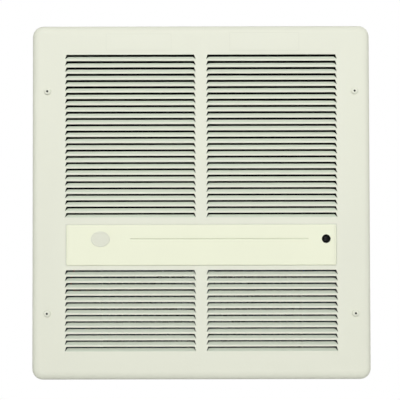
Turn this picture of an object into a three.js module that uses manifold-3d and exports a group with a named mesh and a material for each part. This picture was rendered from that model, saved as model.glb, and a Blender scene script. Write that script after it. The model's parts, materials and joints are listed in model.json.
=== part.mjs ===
// Recessed wall fan heater in millimetres, +Z up, front towards -Y.
// The origin is the centre of the back box's rear face.

import * as THREE from 'three';
import { mergeVertices } from 'three/addons/utils/BufferGeometryUtils.js';
import Module from 'manifold-3d';

const wasm = await Module();
wasm.setup();

// Clearances shared by all pieces
const seatGap = 0.3;
const overrun = 3;
const spinGap = 0.6;

// Front cover
const coverWidth = 508;
const coverHeight = 532;
const coverDepth = 22;
const coverSheet = 1.5;
const coverCornerRadius = 19;
const coverRollRadius = 7;
const wallGap = 0.5;

// Louvres pressed from the cover
const louvrePitch = 9.525;
const louvreSlot = 6;
const louvreTilt = 48;
const louvreEndSlope = 2.7;
const flapEndSlope = 4.1;
const louvreSideMargin = 49.9;
const louvreEndMargin = 43.8;
const flapRootShare = 0.9;
const mullionWidth = 16.5;
const plainMargin = 5;

// Control plate on the cover
const panelMargin = 51.5;
const panelHeight = 61.3;
const panelDrop = 64.35;
const panelSheet = 1.5;
const panelCornerRadius = 2;
const featureDrop = 21.6;
const grooveWidth = 1.8;
const grooveDepth = 0.7;
const grooveLeftInset = 95.7;
const grooveRightInset = 42.1;
const accessHoleRadius = 6.5;
const accessHoleInset = 15.5;
const badgeWidth = 28.4;
const badgeHeight = 23.4;
const badgeThickness = 0.8;
const badgeInset = 51.7;

// Blank label films
const filmThickness = 0.2;
const leftFilmWidth = 98.4;
const leftFilmHeight = 26.3;
const leftFilmCentre = -93.6;
const rightFilmWidth = 104.5;
const rightFilmHeight = 28;
const rightFilmCentre = 95.5;
const filmRise = 5.2;

// Back box let into the wall
const boxDepth = 101.6;
const boxSheet = 1.2;
const coverLap = 32;
const flangeWidth = 17.4;
const knockoutRadius = 11;
const knockoutGroove = 1;
const knockoutDepth = 0.5;
const knockoutInset = 37;
const fixingHoleRadius = 2.8;
const fixingHoleInset = 42;

// Rails, clip nuts and screws that carry the cover
const railSheet = 1.5;
const railSideGap = 0.4;
const railEndInset = 40;
const coverScrewInset = 99.4;
const coverScrewRadius = 2.1;
const coverScrewReach = 8;
const coverScrewHeadRadius = 5.2;
const coverScrewHeadHeight = 2.4;
const coverScrewRecessRadius = 1.9;
const coverScrewRecessDepth = 1.4;
const holeClearance = 0.4;
const clipSheet = 0.8;
const clipWidth = 13;
const clipReach = 5.5;

// Fan deck between the air inlet side and the outlet side
const deckSheet = 1.2;
const shelfRise = 3.7;
const wireChannelHeight = 34;
const deckFlangeDepth = 24;
const orificeLip = 12;
const orificeTopGap = 4;
const orificeBottomGap = 4.6;
const tipGap = 4;
const smallScrewRadius = 2;
const smallScrewHeadRadius = 4;
const smallScrewHeadHeight = 1.8;
const deckScrewLength = 8;
const leadHoleRadius = 5;
const leadHoleRoom = 38.8;

// Fan and motor
const bladeCount = 5;
const bladeChord = 48;
const bladeRootChord = 20;
const bladePitch = 25;
const bladeNeckShare = 0.45;
const bladeSheet = 1.2;
const bladeToElement = 10;
const motorToBlade = 5;
const hubRadius = 13;
const hubLength = 9;
const shaftRadius = 4;
const shaftNutRadius = 6.5;
const shaftNutHeight = 4;
const motorRadius = 42;
const motorSheet = 1.2;
const rearAirGap = 12;
const strapSheet = 2;
const strapWidth = 30;
const strapSideGap = 14;
const strapFoot = 16;
const bearingRadius = 9;
const bossSheet = 1.5;
const rotorRadius = 19.5;
const statorRingWidth = 8;
const statorPoleWidth = 24;
const bearingShare = 0.17;
const stackShare = 0.4;
const coilShare = 0.55;
const motorScrewOffset = 26;

// Finned element
const flapToFin = 6;
const finDepth = 18;
const finSheet = 0.8;
const finPitch = 10;
const finEndMargin = 10;
const finPassSpacing = 54;
const sheathRadius = 4.2;
const finToBracket = 8;
const bendRadiusShare = 0.9;
const sheathOverhang = 14;
const bendOverhang = 7;
const elementBracketSheet = 1.2;
const elementBracketFoot = 12;
const insulatorRadius = 3.6;
const insulatorLength = 8;
const pinRadius = 1.4;
const pinLength = 15;
const baffleSheet = 1.2;
const baffleFoot = 7;
const baffleFlat = 14;

// Controls behind the control plate
const thermostatWidth = 40;
const thermostatHeight = 44;
const thermostatDepth = 24;
const thermostatTopGap = 2;
const thermostatShaftRadius = 3.2;
const thermostatShaftLength = 24;
const shaftTipSetBack = 2;
const driverSlotWidth = 1.2;
const driverSlotDepth = 2;
const controlBracketSheet = 1.2;
const controlBracketSideGap = 5;
const controlBracketFoot = 10;
const wireHoleRadius = 3;
const wireRoom = 12;
const wireDropRoom = 8.4;
const limitRadius = 8.5;
const limitDepth = 12;
const limitDrop = 6.5;
const resetButtonRadius = 2.6;
const resetButtonLength = 12;
const resetButtonReach = 6;
const resetTravel = 1.5;
const delaySwitchRadius = 8.5;
const delaySwitchLength = 10;
const delaySwitchRoom = 7.125;
const terminalBlockWidth = 54;
const terminalBlockHeight = 24;
const terminalBlockDepth = 20;
const terminalWellWidth = 11;
const terminalWellDepth = 8;
const terminalPoles = 3;
const blockInset = 35;
const groundScrewInset = 140;
const groundScrewDrop = 18;

// Wires, capillary and bulb
const wireRadius = 1.5;
const wireBend = 5;
const lineHeightShare = 0.35;
const leadHeightShare = 0.55;
const feedHeightShare = 0.8;
const capillaryRadius = 1;
const bulbRadius = 3.2;
const bulbLength = 70;
const bulbOffset = 70;
const bulbClipSheet = 0.8;
const bulbClipWidth = 10;
const bulbClipFoot = 8;

// Facets on round shapes
const fineSides = 24;
const plainSides = 16;
const smallSides = 12;
const tubeSides = 8;
const hexSides = 6;
const cornerSteps = 3;
const rollSteps = 4;
const bladeTipSteps = 5;
const capillarySteps = 14;

// Depths, from the wall face to the front
const wallFace = -(boxDepth - boxSheet);
const flangeFront = -boxDepth;
const coverBackEdge = wallFace - wallGap;
const coverFront = coverBackEdge - coverDepth;
const coverInside = coverFront + coverSheet;
const tilt = THREE.MathUtils.degToRad(louvreTilt);
const flapSetBack = coverSheet / 3;
const flapBack = coverFront + flapSetBack + louvreSlot * Math.sin(tilt) + coverSheet * Math.cos(tilt);
const finFront = flapBack + flapToFin;
const finBack = finFront + finDepth;
const finMiddle = (finFront + finBack) / 2;
const pitchAngle = THREE.MathUtils.degToRad(bladePitch);
const bladeAxial = bladeChord * Math.sin(pitchAngle) + bladeSheet * Math.cos(pitchAngle);
const bladeFront = finBack + bladeToElement;
const bladeMiddle = bladeFront + bladeAxial / 2;
const deckFront = bladeMiddle - deckSheet / 2;
const deckBack = deckFront + deckSheet;
const motorFront = bladeFront + bladeAxial + motorToBlade;
const strapBack = -boxSheet - rearAirGap;
const strapFront = strapBack - strapSheet;
const motorRear = strapFront - seatGap;
const motorLength = motorRear - motorFront;

// Widths and heights of the main pieces
const boxHalfWidth = coverWidth / 2 - coverLap;
const boxHalfHeight = coverHeight / 2 - coverLap;
const innerHalfWidth = boxHalfWidth - boxSheet;
const innerBottom = -(boxHalfHeight - boxSheet);
const fieldHalfWidth = coverWidth / 2 - louvreSideMargin;
const bankWidth = fieldHalfWidth - mullionWidth / 2;
const fieldRoom = coverHeight - 2 * louvreEndMargin - louvreSlot;
const louvreRows = Math.floor(fieldRoom / louvrePitch) + 1;
const fieldTop = ((louvreRows - 1) * louvrePitch + louvreSlot) / 2;
const panelHalfWidth = coverWidth / 2 - panelMargin;
const panelTop = panelHeight / 2 - panelDrop;
const panelBottom = panelTop - panelHeight;
const featureHeight = panelTop - featureDrop;
const accessX = panelHalfWidth - accessHoleInset;
const shelfTop = panelTop + shelfRise;
const shelfBottom = shelfTop - deckSheet;
const baffleTop = shelfBottom - wireChannelHeight;
const orificeTop = baffleTop - baffleSheet - orificeTopGap;
const orificeBottom = innerBottom + orificeBottomGap + deckSheet;
const orificeRadius = (orificeTop - orificeBottom) / 2;
const fanHeight = (orificeTop + orificeBottom) / 2;
const fanRadius = orificeRadius - tipGap;
const controlLeft = accessX - thermostatWidth / 2 - controlBracketSideGap;
const controlRight = accessX + thermostatWidth / 2 + controlBracketSideGap / 2;
const elementHalfWidth = controlLeft - wireDropRoom;
const screwX = boxHalfWidth + flangeWidth / 2;
const screwZ = coverHeight / 2 - coverScrewInset;
const smallScrewHole = smallScrewRadius + seatGap;

// Rows of louvres that clear the control plate
const rowTop = (row) => fieldTop - row * louvrePitch;
const isAbovePanel = (row) => rowTop(row) - louvreSlot > panelTop + plainMargin;
const isBelowPanel = (row) => rowTop(row) < panelBottom - plainMargin;
const allRows = [...Array(louvreRows).keys()];
const openRows = allRows.filter((row) => isAbovePanel(row) || isBelowPanel(row));
const lowerRows = allRows.filter(isBelowPanel);
const lowerBankTop = rowTop(lowerRows[0]);
const lowerBankBottom = rowTop(louvreRows - 1) - louvreSlot;
const elementHeight = (lowerBankTop + lowerBankBottom) / 2;
const finHalfHeight = (lowerBankTop - lowerBankBottom) / 2 - finEndMargin;

// Finishes
const finish = (color, roughness, metalness) =>
  new THREE.MeshStandardMaterial({ color, roughness, metalness, flatShading: true });
const ivoryPaint = () => finish(0xe5e6d9, 0.45, 0);
const creamPaint = () => finish(0xedf0da, 0.4, 0);
const greyPaint = () => finish(0xe1e2d1, 0.4, 0);
const clearFilm = () => finish(0xe8e9de, 0.3, 0);
const galvanised = () => finish(0xaeb4b8, 0.4, 0.9);
const aluminium = () => finish(0xc4c7ca, 0.35, 1);
const steel = () => finish(0x8c8f92, 0.35, 1);
const zincSteel = () => finish(0xb9b7a4, 0.35, 1);
const laminations = () => finish(0x55585c, 0.5, 0.8);
const copper = () => finish(0xb4693a, 0.35, 1);
const bronze = () => finish(0x9a7342, 0.4, 1);
const sheathSteel = () => finish(0x6f6a64, 0.55, 0.8);
const porcelain = () => finish(0xe9e4d8, 0.3, 0);
const blackPlastic = () => finish(0x17181a, 0.5, 0);
const redPlastic = () => finish(0xa8201c, 0.4, 0);
const wireCover = (color) => finish(color, 0.45, 0);

// A geometry as a solid with shared corners, its faces turned outwards
function solid(geometry) {
  geometry.deleteAttribute('normal');
  geometry.deleteAttribute('uv');
  const merged = mergeVertices(geometry);
  const corners = merged.attributes.position.array;
  const faces = [];
  const index = merged.index.array;
  for (let i = 0; i < index.length; i += 3) {
    const [a, b, c] = [index[i], index[i + 1], index[i + 2]];
    if (a !== b && b !== c && c !== a) {
      faces.push(a, b, c);
    }
  }
  if (signedVolume(corners, faces) < 0) {
    faces.reverse();
  }
  return new wasm.Manifold(new wasm.Mesh({
    numProp: 3,
    vertProperties: new Float32Array(corners),
    triVerts: new Uint32Array(faces),
  }));
}

function signedVolume(corners, faces) {
  const [a, b, c] = [new THREE.Vector3(), new THREE.Vector3(), new THREE.Vector3()];
  let volume = 0;
  for (let i = 0; i < faces.length; i += 3) {
    a.fromArray(corners, faces[i] * 3);
    b.fromArray(corners, faces[i + 1] * 3);
    c.fromArray(corners, faces[i + 2] * 3);
    volume += a.dot(b.cross(c));
  }
  return volume;
}

// A box between two corners
function block(x0, x1, y0, y1, z0, z1) {
  const geometry = new THREE.BoxGeometry(x1 - x0, y1 - y0, z1 - z0);
  geometry.translate((x0 + x1) / 2, (y0 + y1) / 2, (z0 + z1) / 2);
  return solid(geometry);
}

// An outline through points, each a pair
function outline(points) {
  return new THREE.Shape(points.map(([u, v]) => new THREE.Vector2(u, v)));
}

// An outline drawn in X and Z, from yBack forward by a thickness
function plateY(shape, yBack, thickness, curveSegments = smallSides) {
  const geometry = new THREE.ExtrudeGeometry(shape, { depth: thickness, bevelEnabled: false, curveSegments });
  geometry.rotateX(Math.PI / 2);
  geometry.translate(0, yBack, 0);
  return solid(geometry);
}

// An outline drawn in Y and Z, from x0 to x1
function plateX(shape, x0, x1) {
  const geometry = new THREE.ExtrudeGeometry(shape, { depth: x1 - x0, bevelEnabled: false });
  const turn = new THREE.Matrix4().makeBasis(
    new THREE.Vector3(0, 1, 0),
    new THREE.Vector3(0, 0, 1),
    new THREE.Vector3(1, 0, 0),
  );
  geometry.applyMatrix4(turn);
  geometry.translate(x0, 0, 0);
  return solid(geometry);
}

// An outline drawn in X and Y, from z0 to z1
function plateZ(shape, z0, z1) {
  const geometry = new THREE.ExtrudeGeometry(shape, { depth: z1 - z0, bevelEnabled: false });
  geometry.translate(0, 0, z0);
  return solid(geometry);
}

// Two values in rising order
function ordered(a, b) {
  return [Math.min(a, b), Math.max(a, b)];
}

// A closed profile of [radius, y] points turned about an axis along Y
function turned(profile, x, z, sides) {
  const points = profile.map(([radius, y]) => new THREE.Vector2(radius, y));
  const geometry = new THREE.LatheGeometry(points, sides);
  geometry.translate(x, 0, z);
  return solid(geometry);
}

// A round bar along Y
function barY(x, z, radius, y0, y1, sides = plainSides) {
  return turned([[0, y0], [radius, y0], [radius, y1], [0, y1]], x, z, sides);
}

// A round bar along X
function barX(y, z, radius, x0, x1, sides = plainSides) {
  const geometry = new THREE.CylinderGeometry(radius, radius, x1 - x0, sides);
  geometry.rotateZ(Math.PI / 2);
  geometry.translate((x0 + x1) / 2, y, z);
  return solid(geometry);
}

// A ring about an axis along Y
function ringY(x, z, innerRadius, outerRadius, y0, y1, sides = plainSides) {
  const [inner, outer] = [innerRadius, outerRadius];
  return turned([[inner, y0], [outer, y0], [outer, y1], [inner, y1], [inner, y0]], x, z, sides);
}

// A round tube that follows a curve
function tube(curve, radius, steps) {
  const section = new THREE.Shape();
  section.absarc(0, 0, radius, 0, 2 * Math.PI, false);
  return solid(new THREE.ExtrudeGeometry(section, {
    steps,
    curveSegments: tubeSides / 2,
    extrudePath: curve,
    bevelEnabled: false,
  }));
}

// A rounded rectangle about a centre
function roundedRectangle(halfWidth, halfHeight, radius, x = 0, z = 0) {
  const shape = new THREE.Shape();
  const [left, right] = [x - halfWidth, x + halfWidth];
  const [low, high] = [z - halfHeight, z + halfHeight];
  shape.moveTo(left + radius, low);
  shape.lineTo(right - radius, low);
  shape.absarc(right - radius, low + radius, radius, -Math.PI / 2, 0, false);
  shape.lineTo(right, high - radius);
  shape.absarc(right - radius, high - radius, radius, 0, Math.PI / 2, false);
  shape.lineTo(left + radius, high);
  shape.absarc(left + radius, high - radius, radius, Math.PI / 2, Math.PI, false);
  shape.lineTo(left, low + radius);
  shape.absarc(left + radius, low + radius, radius, Math.PI, 1.5 * Math.PI, false);
  return shape;
}

const heater = new THREE.Group();

// Adds a solid to the heater as a named mesh
function add(name, shape, material) {
  const result = shape.getMesh();
  const geometry = new THREE.BufferGeometry();
  geometry.setAttribute('position', new THREE.BufferAttribute(new Float32Array(result.vertProperties), 3));
  geometry.setIndex(new THREE.BufferAttribute(new Uint32Array(result.triVerts), 1));
  const mesh = new THREE.Mesh(geometry, material);
  mesh.name = name;
  heater.add(mesh);
}

// The cover's outside or inside, a block with a rolled front edge
function rolledBlock(inset, frontY, backY) {
  const roll = coverRollRadius - inset;
  const shape = roundedRectangle(
    coverWidth / 2 - coverRollRadius,
    coverHeight / 2 - coverRollRadius,
    coverCornerRadius - coverRollRadius,
  );
  const geometry = new THREE.ExtrudeGeometry(shape, {
    depth: backY - frontY,
    bevelThickness: roll,
    bevelSize: roll,
    bevelSegments: rollSteps,
    curveSegments: cornerSteps,
  });
  geometry.rotateX(Math.PI / 2);
  geometry.translate(0, backY + roll, 0);
  const halfSpace = block(-coverWidth, coverWidth, frontY - overrun, backY, -coverHeight, coverHeight);
  return solid(geometry).intersect(halfSpace);
}

// One louvre's opening, wider at its foot
function louvreSlotCut(centreX, top) {
  const half = bankWidth / 2;
  const shape = outline([
    [centreX - half, top - louvreSlot],
    [centreX + half, top - louvreSlot],
    [centreX + half - louvreEndSlope, top],
    [centreX - half + louvreEndSlope, top],
  ]);
  return plateY(shape, coverInside + overrun, coverSheet + 2 * overrun);
}

// One louvre's flap, bent inwards about its foot
function louvreFlap(centreX, top) {
  const half = bankWidth / 2 - seatGap;
  const root = (flapRootShare * flapSetBack) / Math.sin(tilt);
  const slope = (flapEndSlope * root) / louvreSlot;
  const shape = outline([
    [-half - slope, -root],
    [half + slope, -root],
    [half - flapEndSlope, louvreSlot],
    [-half + flapEndSlope, louvreSlot],
  ]);
  const geometry = new THREE.ExtrudeGeometry(shape, { depth: coverSheet, bevelEnabled: false });
  geometry.rotateX(Math.PI / 2);
  geometry.translate(0, coverSheet, 0);
  geometry.rotateX(-tilt);
  geometry.translate(centreX, coverFront + flapSetBack, top - louvreSlot);
  return solid(geometry);
}

function frontCover() {
  const outside = rolledBlock(0, coverFront, coverBackEdge);
  const inside = rolledBlock(coverSheet, coverInside, coverBackEdge + overrun);
  const bankCentre = mullionWidth / 2 + bankWidth / 2;
  const cuts = [];
  const flaps = [];
  for (const row of openRows) {
    for (const centreX of [-bankCentre, bankCentre]) {
      cuts.push(louvreSlotCut(centreX, rowTop(row)));
      flaps.push(louvreFlap(centreX, rowTop(row)));
    }
  }
  const hole = (x, z, radius) => barY(x, z, radius, coverFront - overrun, coverInside + overrun);
  cuts.push(hole(accessX, featureHeight, accessHoleRadius));
  for (const [x, z] of coverScrewPlaces()) {
    cuts.push(hole(x, z, coverScrewRadius + holeClearance));
  }
  const sheet = cuts.reduce((body, cut) => body.subtract(cut), outside.subtract(inside));
  return flaps.reduce((body, flap) => body.add(flap), sheet);
}

function coverScrewPlaces() {
  return [[-screwX, screwZ], [screwX, screwZ], [-screwX, -screwZ], [screwX, -screwZ]];
}

// Control plate with its long groove and access hole
function controlPanel() {
  const back = coverFront - seatGap;
  const front = back - panelSheet;
  const middle = (panelTop + panelBottom) / 2;
  const shape = roundedRectangle(panelHalfWidth, panelHeight / 2, panelCornerRadius, 0, middle);
  const grooveHalf = panelHalfWidth - (grooveLeftInset + grooveRightInset) / 2;
  const grooveCentre = (grooveLeftInset - grooveRightInset) / 2;
  const groove = roundedRectangle(grooveHalf, grooveWidth / 2, grooveWidth / 2, grooveCentre, featureHeight);
  return plateY(shape, back, panelSheet, cornerSteps)
    .subtract(plateY(groove, front + grooveDepth, grooveDepth + overrun, cornerSteps))
    .subtract(barY(accessX, featureHeight, accessHoleRadius, front - overrun, back + overrun));
}

// Bare oval plate on the control plate
function badgeDisc() {
  const shape = new THREE.Shape();
  const x = badgeInset - panelHalfWidth;
  shape.absellipse(x, featureHeight, badgeWidth / 2, badgeHeight / 2, 0, 2 * Math.PI, false, 0);
  return plateY(shape, coverFront - 2 * seatGap - panelSheet, badgeThickness);
}

function labelFilm(centreX, width, height) {
  const low = fieldTop + filmRise;
  const front = coverFront - seatGap - filmThickness;
  return block(centreX - width / 2, centreX + width / 2, front, coverFront - seatGap, low, low + height);
}

// Open box with its wall flange, closed knockouts and fixing holes
function backBox() {
  const shell = block(-boxHalfWidth, boxHalfWidth, -boxDepth, 0, -boxHalfHeight, boxHalfHeight);
  const flange = block(
    -boxHalfWidth - flangeWidth, boxHalfWidth + flangeWidth,
    -boxDepth, wallFace,
    -boxHalfHeight - flangeWidth, boxHalfHeight + flangeWidth,
  );
  const cavity = block(
    -innerHalfWidth, innerHalfWidth,
    -boxDepth - overrun, -boxSheet,
    innerBottom, -innerBottom,
  );
  let box = shell.add(flange).subtract(cavity);
  for (const cut of [...knockoutGrooves(), ...fixingHoles(), ...deckScrewHoles()]) {
    box = box.subtract(cut);
  }
  return box;
}

// Grooves round the knockouts, two in the back and one in each end
function knockoutGrooves() {
  const inner = knockoutRadius - knockoutGroove;
  const x = knockoutInset - innerHalfWidth;
  const grooves = [];
  for (const z of [shelfBottom - knockoutInset, -shelfBottom + knockoutInset]) {
    grooves.push(ringY(x, z, inner, knockoutRadius, -knockoutDepth, overrun, smallSides));
  }
  for (const side of [-1, 1]) {
    const groove = ringY(0, 0, inner, knockoutRadius, -knockoutDepth, overrun, smallSides);
    grooves.push(groove.rotate(side * 90, 0, 0).translate(x, -boxDepth / 2, side * boxHalfHeight));
  }
  return grooves;
}

// Holes in the side walls for studs and in the flange for the wall
function fixingHoles() {
  const holes = [];
  const reach = boxHalfHeight - fixingHoleInset;
  for (const z of [-reach, reach]) {
    for (const side of [-1, 1]) {
      const [x0, x1] = ordered(side * (innerHalfWidth - overrun), side * (boxHalfWidth + overrun));
      holes.push(barX(-boxDepth / 2, z, fixingHoleRadius, x0, x1, smallSides));
      const flangeZ = Math.sign(z) * (boxHalfHeight + flangeWidth / 2);
      const flangeX = side * (boxHalfWidth - fixingHoleInset);
      const [front, back] = [-boxDepth - overrun, wallFace + overrun];
      holes.push(barY(flangeX, flangeZ, fixingHoleRadius, front, back, smallSides));
    }
  }
  return holes;
}

// Channel rail on the flange, whose head carries the clip nuts
const railHeadFront = coverInside + clipSheet + 2 * seatGap;
const railHeadBack = railHeadFront + railSheet;
const railFootBack = flangeFront - seatGap;
const railInner = boxHalfWidth + railSideGap;
const railOuter = boxHalfWidth + flangeWidth - railSideGap;

function coverRail(side) {
  const shape = outline([
    [side * railInner, railFootBack],
    [side * railOuter, railFootBack],
    [side * railOuter, railFootBack - railSheet],
    [side * (railInner + railSheet), railFootBack - railSheet],
    [side * (railInner + railSheet), railHeadBack],
    [side * railOuter, railHeadBack],
    [side * railOuter, railHeadFront],
    [side * railInner, railHeadFront],
  ]);
  const halfLength = boxHalfHeight - railEndInset;
  let rail = plateZ(shape, -halfLength, halfLength);
  for (const z of [-screwZ, screwZ]) {
    const [front, back] = [railHeadFront - overrun, railHeadBack + overrun];
    rail = rail.subtract(barY(side * screwX, z, coverScrewRadius + holeClearance, front, back, smallSides));
  }
  return rail;
}

// U-shaped clip nut pushed over the rail's edge
function clipNut(x, z) {
  const side = Math.sign(x);
  const [open, edge] = [screwX - clipReach, railOuter + seatGap];
  const [frontInside, backInside] = [railHeadFront - seatGap, railHeadBack + seatGap];
  const shape = outline([
    [side * open, frontInside],
    [side * edge, frontInside],
    [side * edge, backInside],
    [side * open, backInside],
    [side * open, backInside + clipSheet],
    [side * (edge + clipSheet), backInside + clipSheet],
    [side * (edge + clipSheet), frontInside - clipSheet],
    [side * open, frontInside - clipSheet],
  ]);
  const clip = plateZ(shape, z - clipWidth / 2, z + clipWidth / 2);
  const radius = coverScrewRadius + seatGap;
  return clip.subtract(barY(x, z, radius, frontInside - overrun, backInside + overrun, smallSides));
}

// Screw with a low round head and a six-sided recess
function coverScrew(x, z) {
  const seat = coverFront - seatGap;
  const top = seat - coverScrewHeadHeight;
  const shoulder = seat - coverScrewHeadHeight / 2;
  const end = railHeadBack + seatGap + clipSheet + coverScrewReach;
  const profile = [
    [0, end],
    [coverScrewRadius, end - coverScrewRadius / 2],
    [coverScrewRadius, seat],
    [coverScrewHeadRadius, seat],
    [(coverScrewHeadRadius * 4) / 5, shoulder],
    [coverScrewHeadRadius / 2, top],
    [0, top],
  ];
  const recess = barY(x, z, coverScrewRecessRadius, top - overrun, top + coverScrewRecessDepth, hexSides);
  return turned(profile, x, z, smallSides).subtract(recess);
}

// Fan deck: plate, inlet lip, side flanges and the shelf to the cover
const deckHalfWidth = innerHalfWidth - seatGap;
const deckBottom = innerBottom + seatGap;
const shelfFront = coverInside + 2 * seatGap;
const deckFlangeFront = deckFront - deckFlangeDepth;
const deckScrewY = (deckFront + deckFlangeFront) / 2;
const capillaryX = accessX;
const capillaryY = deckFront - wireRoom - thermostatDepth / 2;

function fanDeck() {
  let deck = block(-deckHalfWidth, deckHalfWidth, deckFront, deckBack, deckBottom, shelfTop);
  deck = deck.add(block(-deckHalfWidth, deckHalfWidth, shelfFront, deckBack, shelfBottom, shelfTop));
  for (const side of [-1, 1]) {
    const [x0, x1] = ordered(side * deckHalfWidth, side * (deckHalfWidth - deckSheet));
    deck = deck.add(block(x0, x1, deckFlangeFront, deckBack, deckBottom, shelfTop));
  }
  const lipBack = deckBack + orificeLip;
  const lipRadius = orificeRadius + deckSheet;
  deck = deck.add(ringY(0, fanHeight, orificeRadius, lipRadius, deckFront, lipBack, fineSides));
  const hole = (x, z, radius) => barY(x, z, radius, deckFront - overrun, deckBack + overrun);
  const capillaryHole = barY(0, 0, 3 * capillaryRadius, -overrun, overrun, smallSides);
  const cuts = [
    barY(0, fanHeight, orificeRadius, deckFront - overrun, lipBack + overrun, fineSides),
    hole(-leadHoleOffset, leadHeight, leadHoleRadius),
    hole(leadHoleOffset, leadHeight, leadHoleRadius),
    hole(-strapScrewX, fanHeight, smallScrewHole),
    hole(strapScrewX, fanHeight, smallScrewHole),
    hole(groundScrewX, groundScrewZ, smallScrewHole),
    capillaryHole.rotate(90, 0, 0).translate(capillaryX, capillaryY, shelfTop),
    ...deckScrewHoles(),
  ];
  return cuts.reduce((body, cut) => body.subtract(cut), deck);
}

function deckScrewHoles() {
  const near = innerHalfWidth - overrun;
  const far = boxHalfWidth + overrun;
  return [
    barX(deckScrewY, fanHeight, smallScrewHole, -far, -near, smallSides),
    barX(deckScrewY, fanHeight, smallScrewHole, near, far, smallSides),
  ];
}

// Small pan-head screw along Y whose head faces the front when towards is -1
function smallScrewY(x, z, seat, length, towards) {
  const profile = [
    [0, seat - towards * length],
    [smallScrewRadius, seat - towards * length],
    [smallScrewRadius, seat],
    [smallScrewHeadRadius, seat],
    [smallScrewHeadRadius, seat + (towards * smallScrewHeadHeight) / 2],
    [smallScrewHeadRadius / 2, seat + towards * smallScrewHeadHeight],
    [0, seat + towards * smallScrewHeadHeight],
  ];
  return turned(profile, x, z, smallSides);
}

function deckScrew(side) {
  const screw = smallScrewY(0, 0, 0, deckScrewLength, -1);
  const seat = deckHalfWidth - deckSheet - seatGap;
  return screw.rotate(0, 0, -side * 90).translate(side * seat, deckScrewY, fanHeight);
}

// Strap that carries the motor, with its feet on the deck's back
const strapHalfSpan = orificeRadius + deckSheet + strapSideGap;
const strapFootFront = deckBack + seatGap;
const strapScrewX = strapHalfSpan + strapSheet + strapFoot / 2;

function motorBracket() {
  const half = strapHalfSpan;
  const outer = half + strapSheet;
  const tip = outer + strapFoot;
  const points = [
    [half, strapFront],
    [half, strapFootFront],
    [tip, strapFootFront],
    [tip, strapFootFront + strapSheet],
    [outer, strapFootFront + strapSheet],
    [outer, strapBack],
  ];
  const mirrored = points.map(([x, y]) => [-x, y]).reverse();
  const shape = outline([...points, ...mirrored]);
  let strap = plateZ(shape, fanHeight - strapWidth / 2, fanHeight + strapWidth / 2);
  for (const x of [-motorScrewOffset, motorScrewOffset]) {
    const hole = barY(x, fanHeight, smallScrewHole, strapFront - overrun, strapBack + overrun, smallSides);
    strap = strap.subtract(hole);
  }
  for (const x of [-strapScrewX, strapScrewX]) {
    const back = strapFootFront + strapSheet + overrun;
    const hole = barY(x, fanHeight, smallScrewHole, strapFootFront - overrun, back, smallSides);
    strap = strap.subtract(hole);
  }
  return strap;
}

function bracketScrew(side) {
  const seat = strapFootFront + strapSheet + seatGap;
  return smallScrewY(side * strapScrewX, fanHeight, seat, strapSheet + deckSheet + 2 * overrun, 1);
}

function motorScrew(side) {
  const length = strapSheet + motorSheet + 2 * seatGap + overrun / 2;
  return smallScrewY(side * motorScrewOffset, fanHeight, strapBack + seatGap, length, 1);
}

// Motor shells, each a cup with a bearing boss
const motorMiddle = (motorRear + motorFront) / 2;
const bearingLength = motorLength * bearingShare;
const bossInner = bearingRadius + seatGap;
const bossOuter = bossInner + bossSheet;

function motorHousingRear() {
  const inside = motorRear - motorSheet;
  const profile = [
    [0, motorRear],
    [motorRadius, motorRear],
    [motorRadius, motorMiddle + seatGap / 2],
    [motorRadius - motorSheet, motorMiddle + seatGap / 2],
    [motorRadius - motorSheet, inside],
    [bossOuter, inside],
    [bossOuter, inside - bearingLength],
    [bossInner, inside - bearingLength],
    [bossInner, inside],
    [0, inside],
  ];
  let cup = turned(profile, 0, fanHeight, fineSides);
  for (const x of [-motorScrewOffset, motorScrewOffset]) {
    const hole = barY(x, fanHeight, smallScrewHole, inside - overrun, motorRear + overrun, smallSides);
    cup = cup.subtract(hole);
  }
  return cup;
}

function motorHousingFront() {
  const inside = motorFront + motorSheet;
  const shaftHole = shaftRadius + spinGap;
  const profile = [
    [shaftHole, motorFront],
    [motorRadius, motorFront],
    [motorRadius, motorMiddle - seatGap / 2],
    [motorRadius - motorSheet, motorMiddle - seatGap / 2],
    [motorRadius - motorSheet, inside],
    [bossOuter, inside],
    [bossOuter, inside + bearingLength],
    [bossInner, inside + bearingLength],
    [bossInner, inside],
    [shaftHole, inside],
    [shaftHole, motorFront],
  ];
  return turned(profile, 0, fanHeight, fineSides);
}

function bearing(y0, y1) {
  return ringY(0, fanHeight, shaftRadius + seatGap, bearingRadius, y0, y1, smallSides);
}

function bearingRear() {
  const inside = motorRear - motorSheet;
  return bearing(inside - bearingLength, inside - seatGap);
}

function bearingFront() {
  const inside = motorFront + motorSheet;
  return bearing(inside + seatGap, inside + bearingLength);
}

// Stator ring with two poles, and the rotor in its bore
const stackHalf = (motorLength * stackShare) / 2;
const statorRadius = motorRadius - motorSheet - seatGap;
const statorBore = rotorRadius + spinGap;
const coilThickness = (motorLength / 2 - motorSheet - stackHalf) * coilShare;

function statorCore() {
  const [front, back] = [motorMiddle - stackHalf, motorMiddle + stackHalf];
  const ring = ringY(0, fanHeight, statorRadius - statorRingWidth, statorRadius, front, back, fineSides);
  const armReach = statorRadius - statorRingWidth / 2;
  const half = statorPoleWidth / 2;
  const arm = block(-armReach, armReach, front, back, fanHeight - half, fanHeight + half);
  const bore = barY(0, fanHeight, statorBore, front - overrun, back + overrun, fineSides);
  return ring.add(arm).subtract(bore);
}

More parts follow.
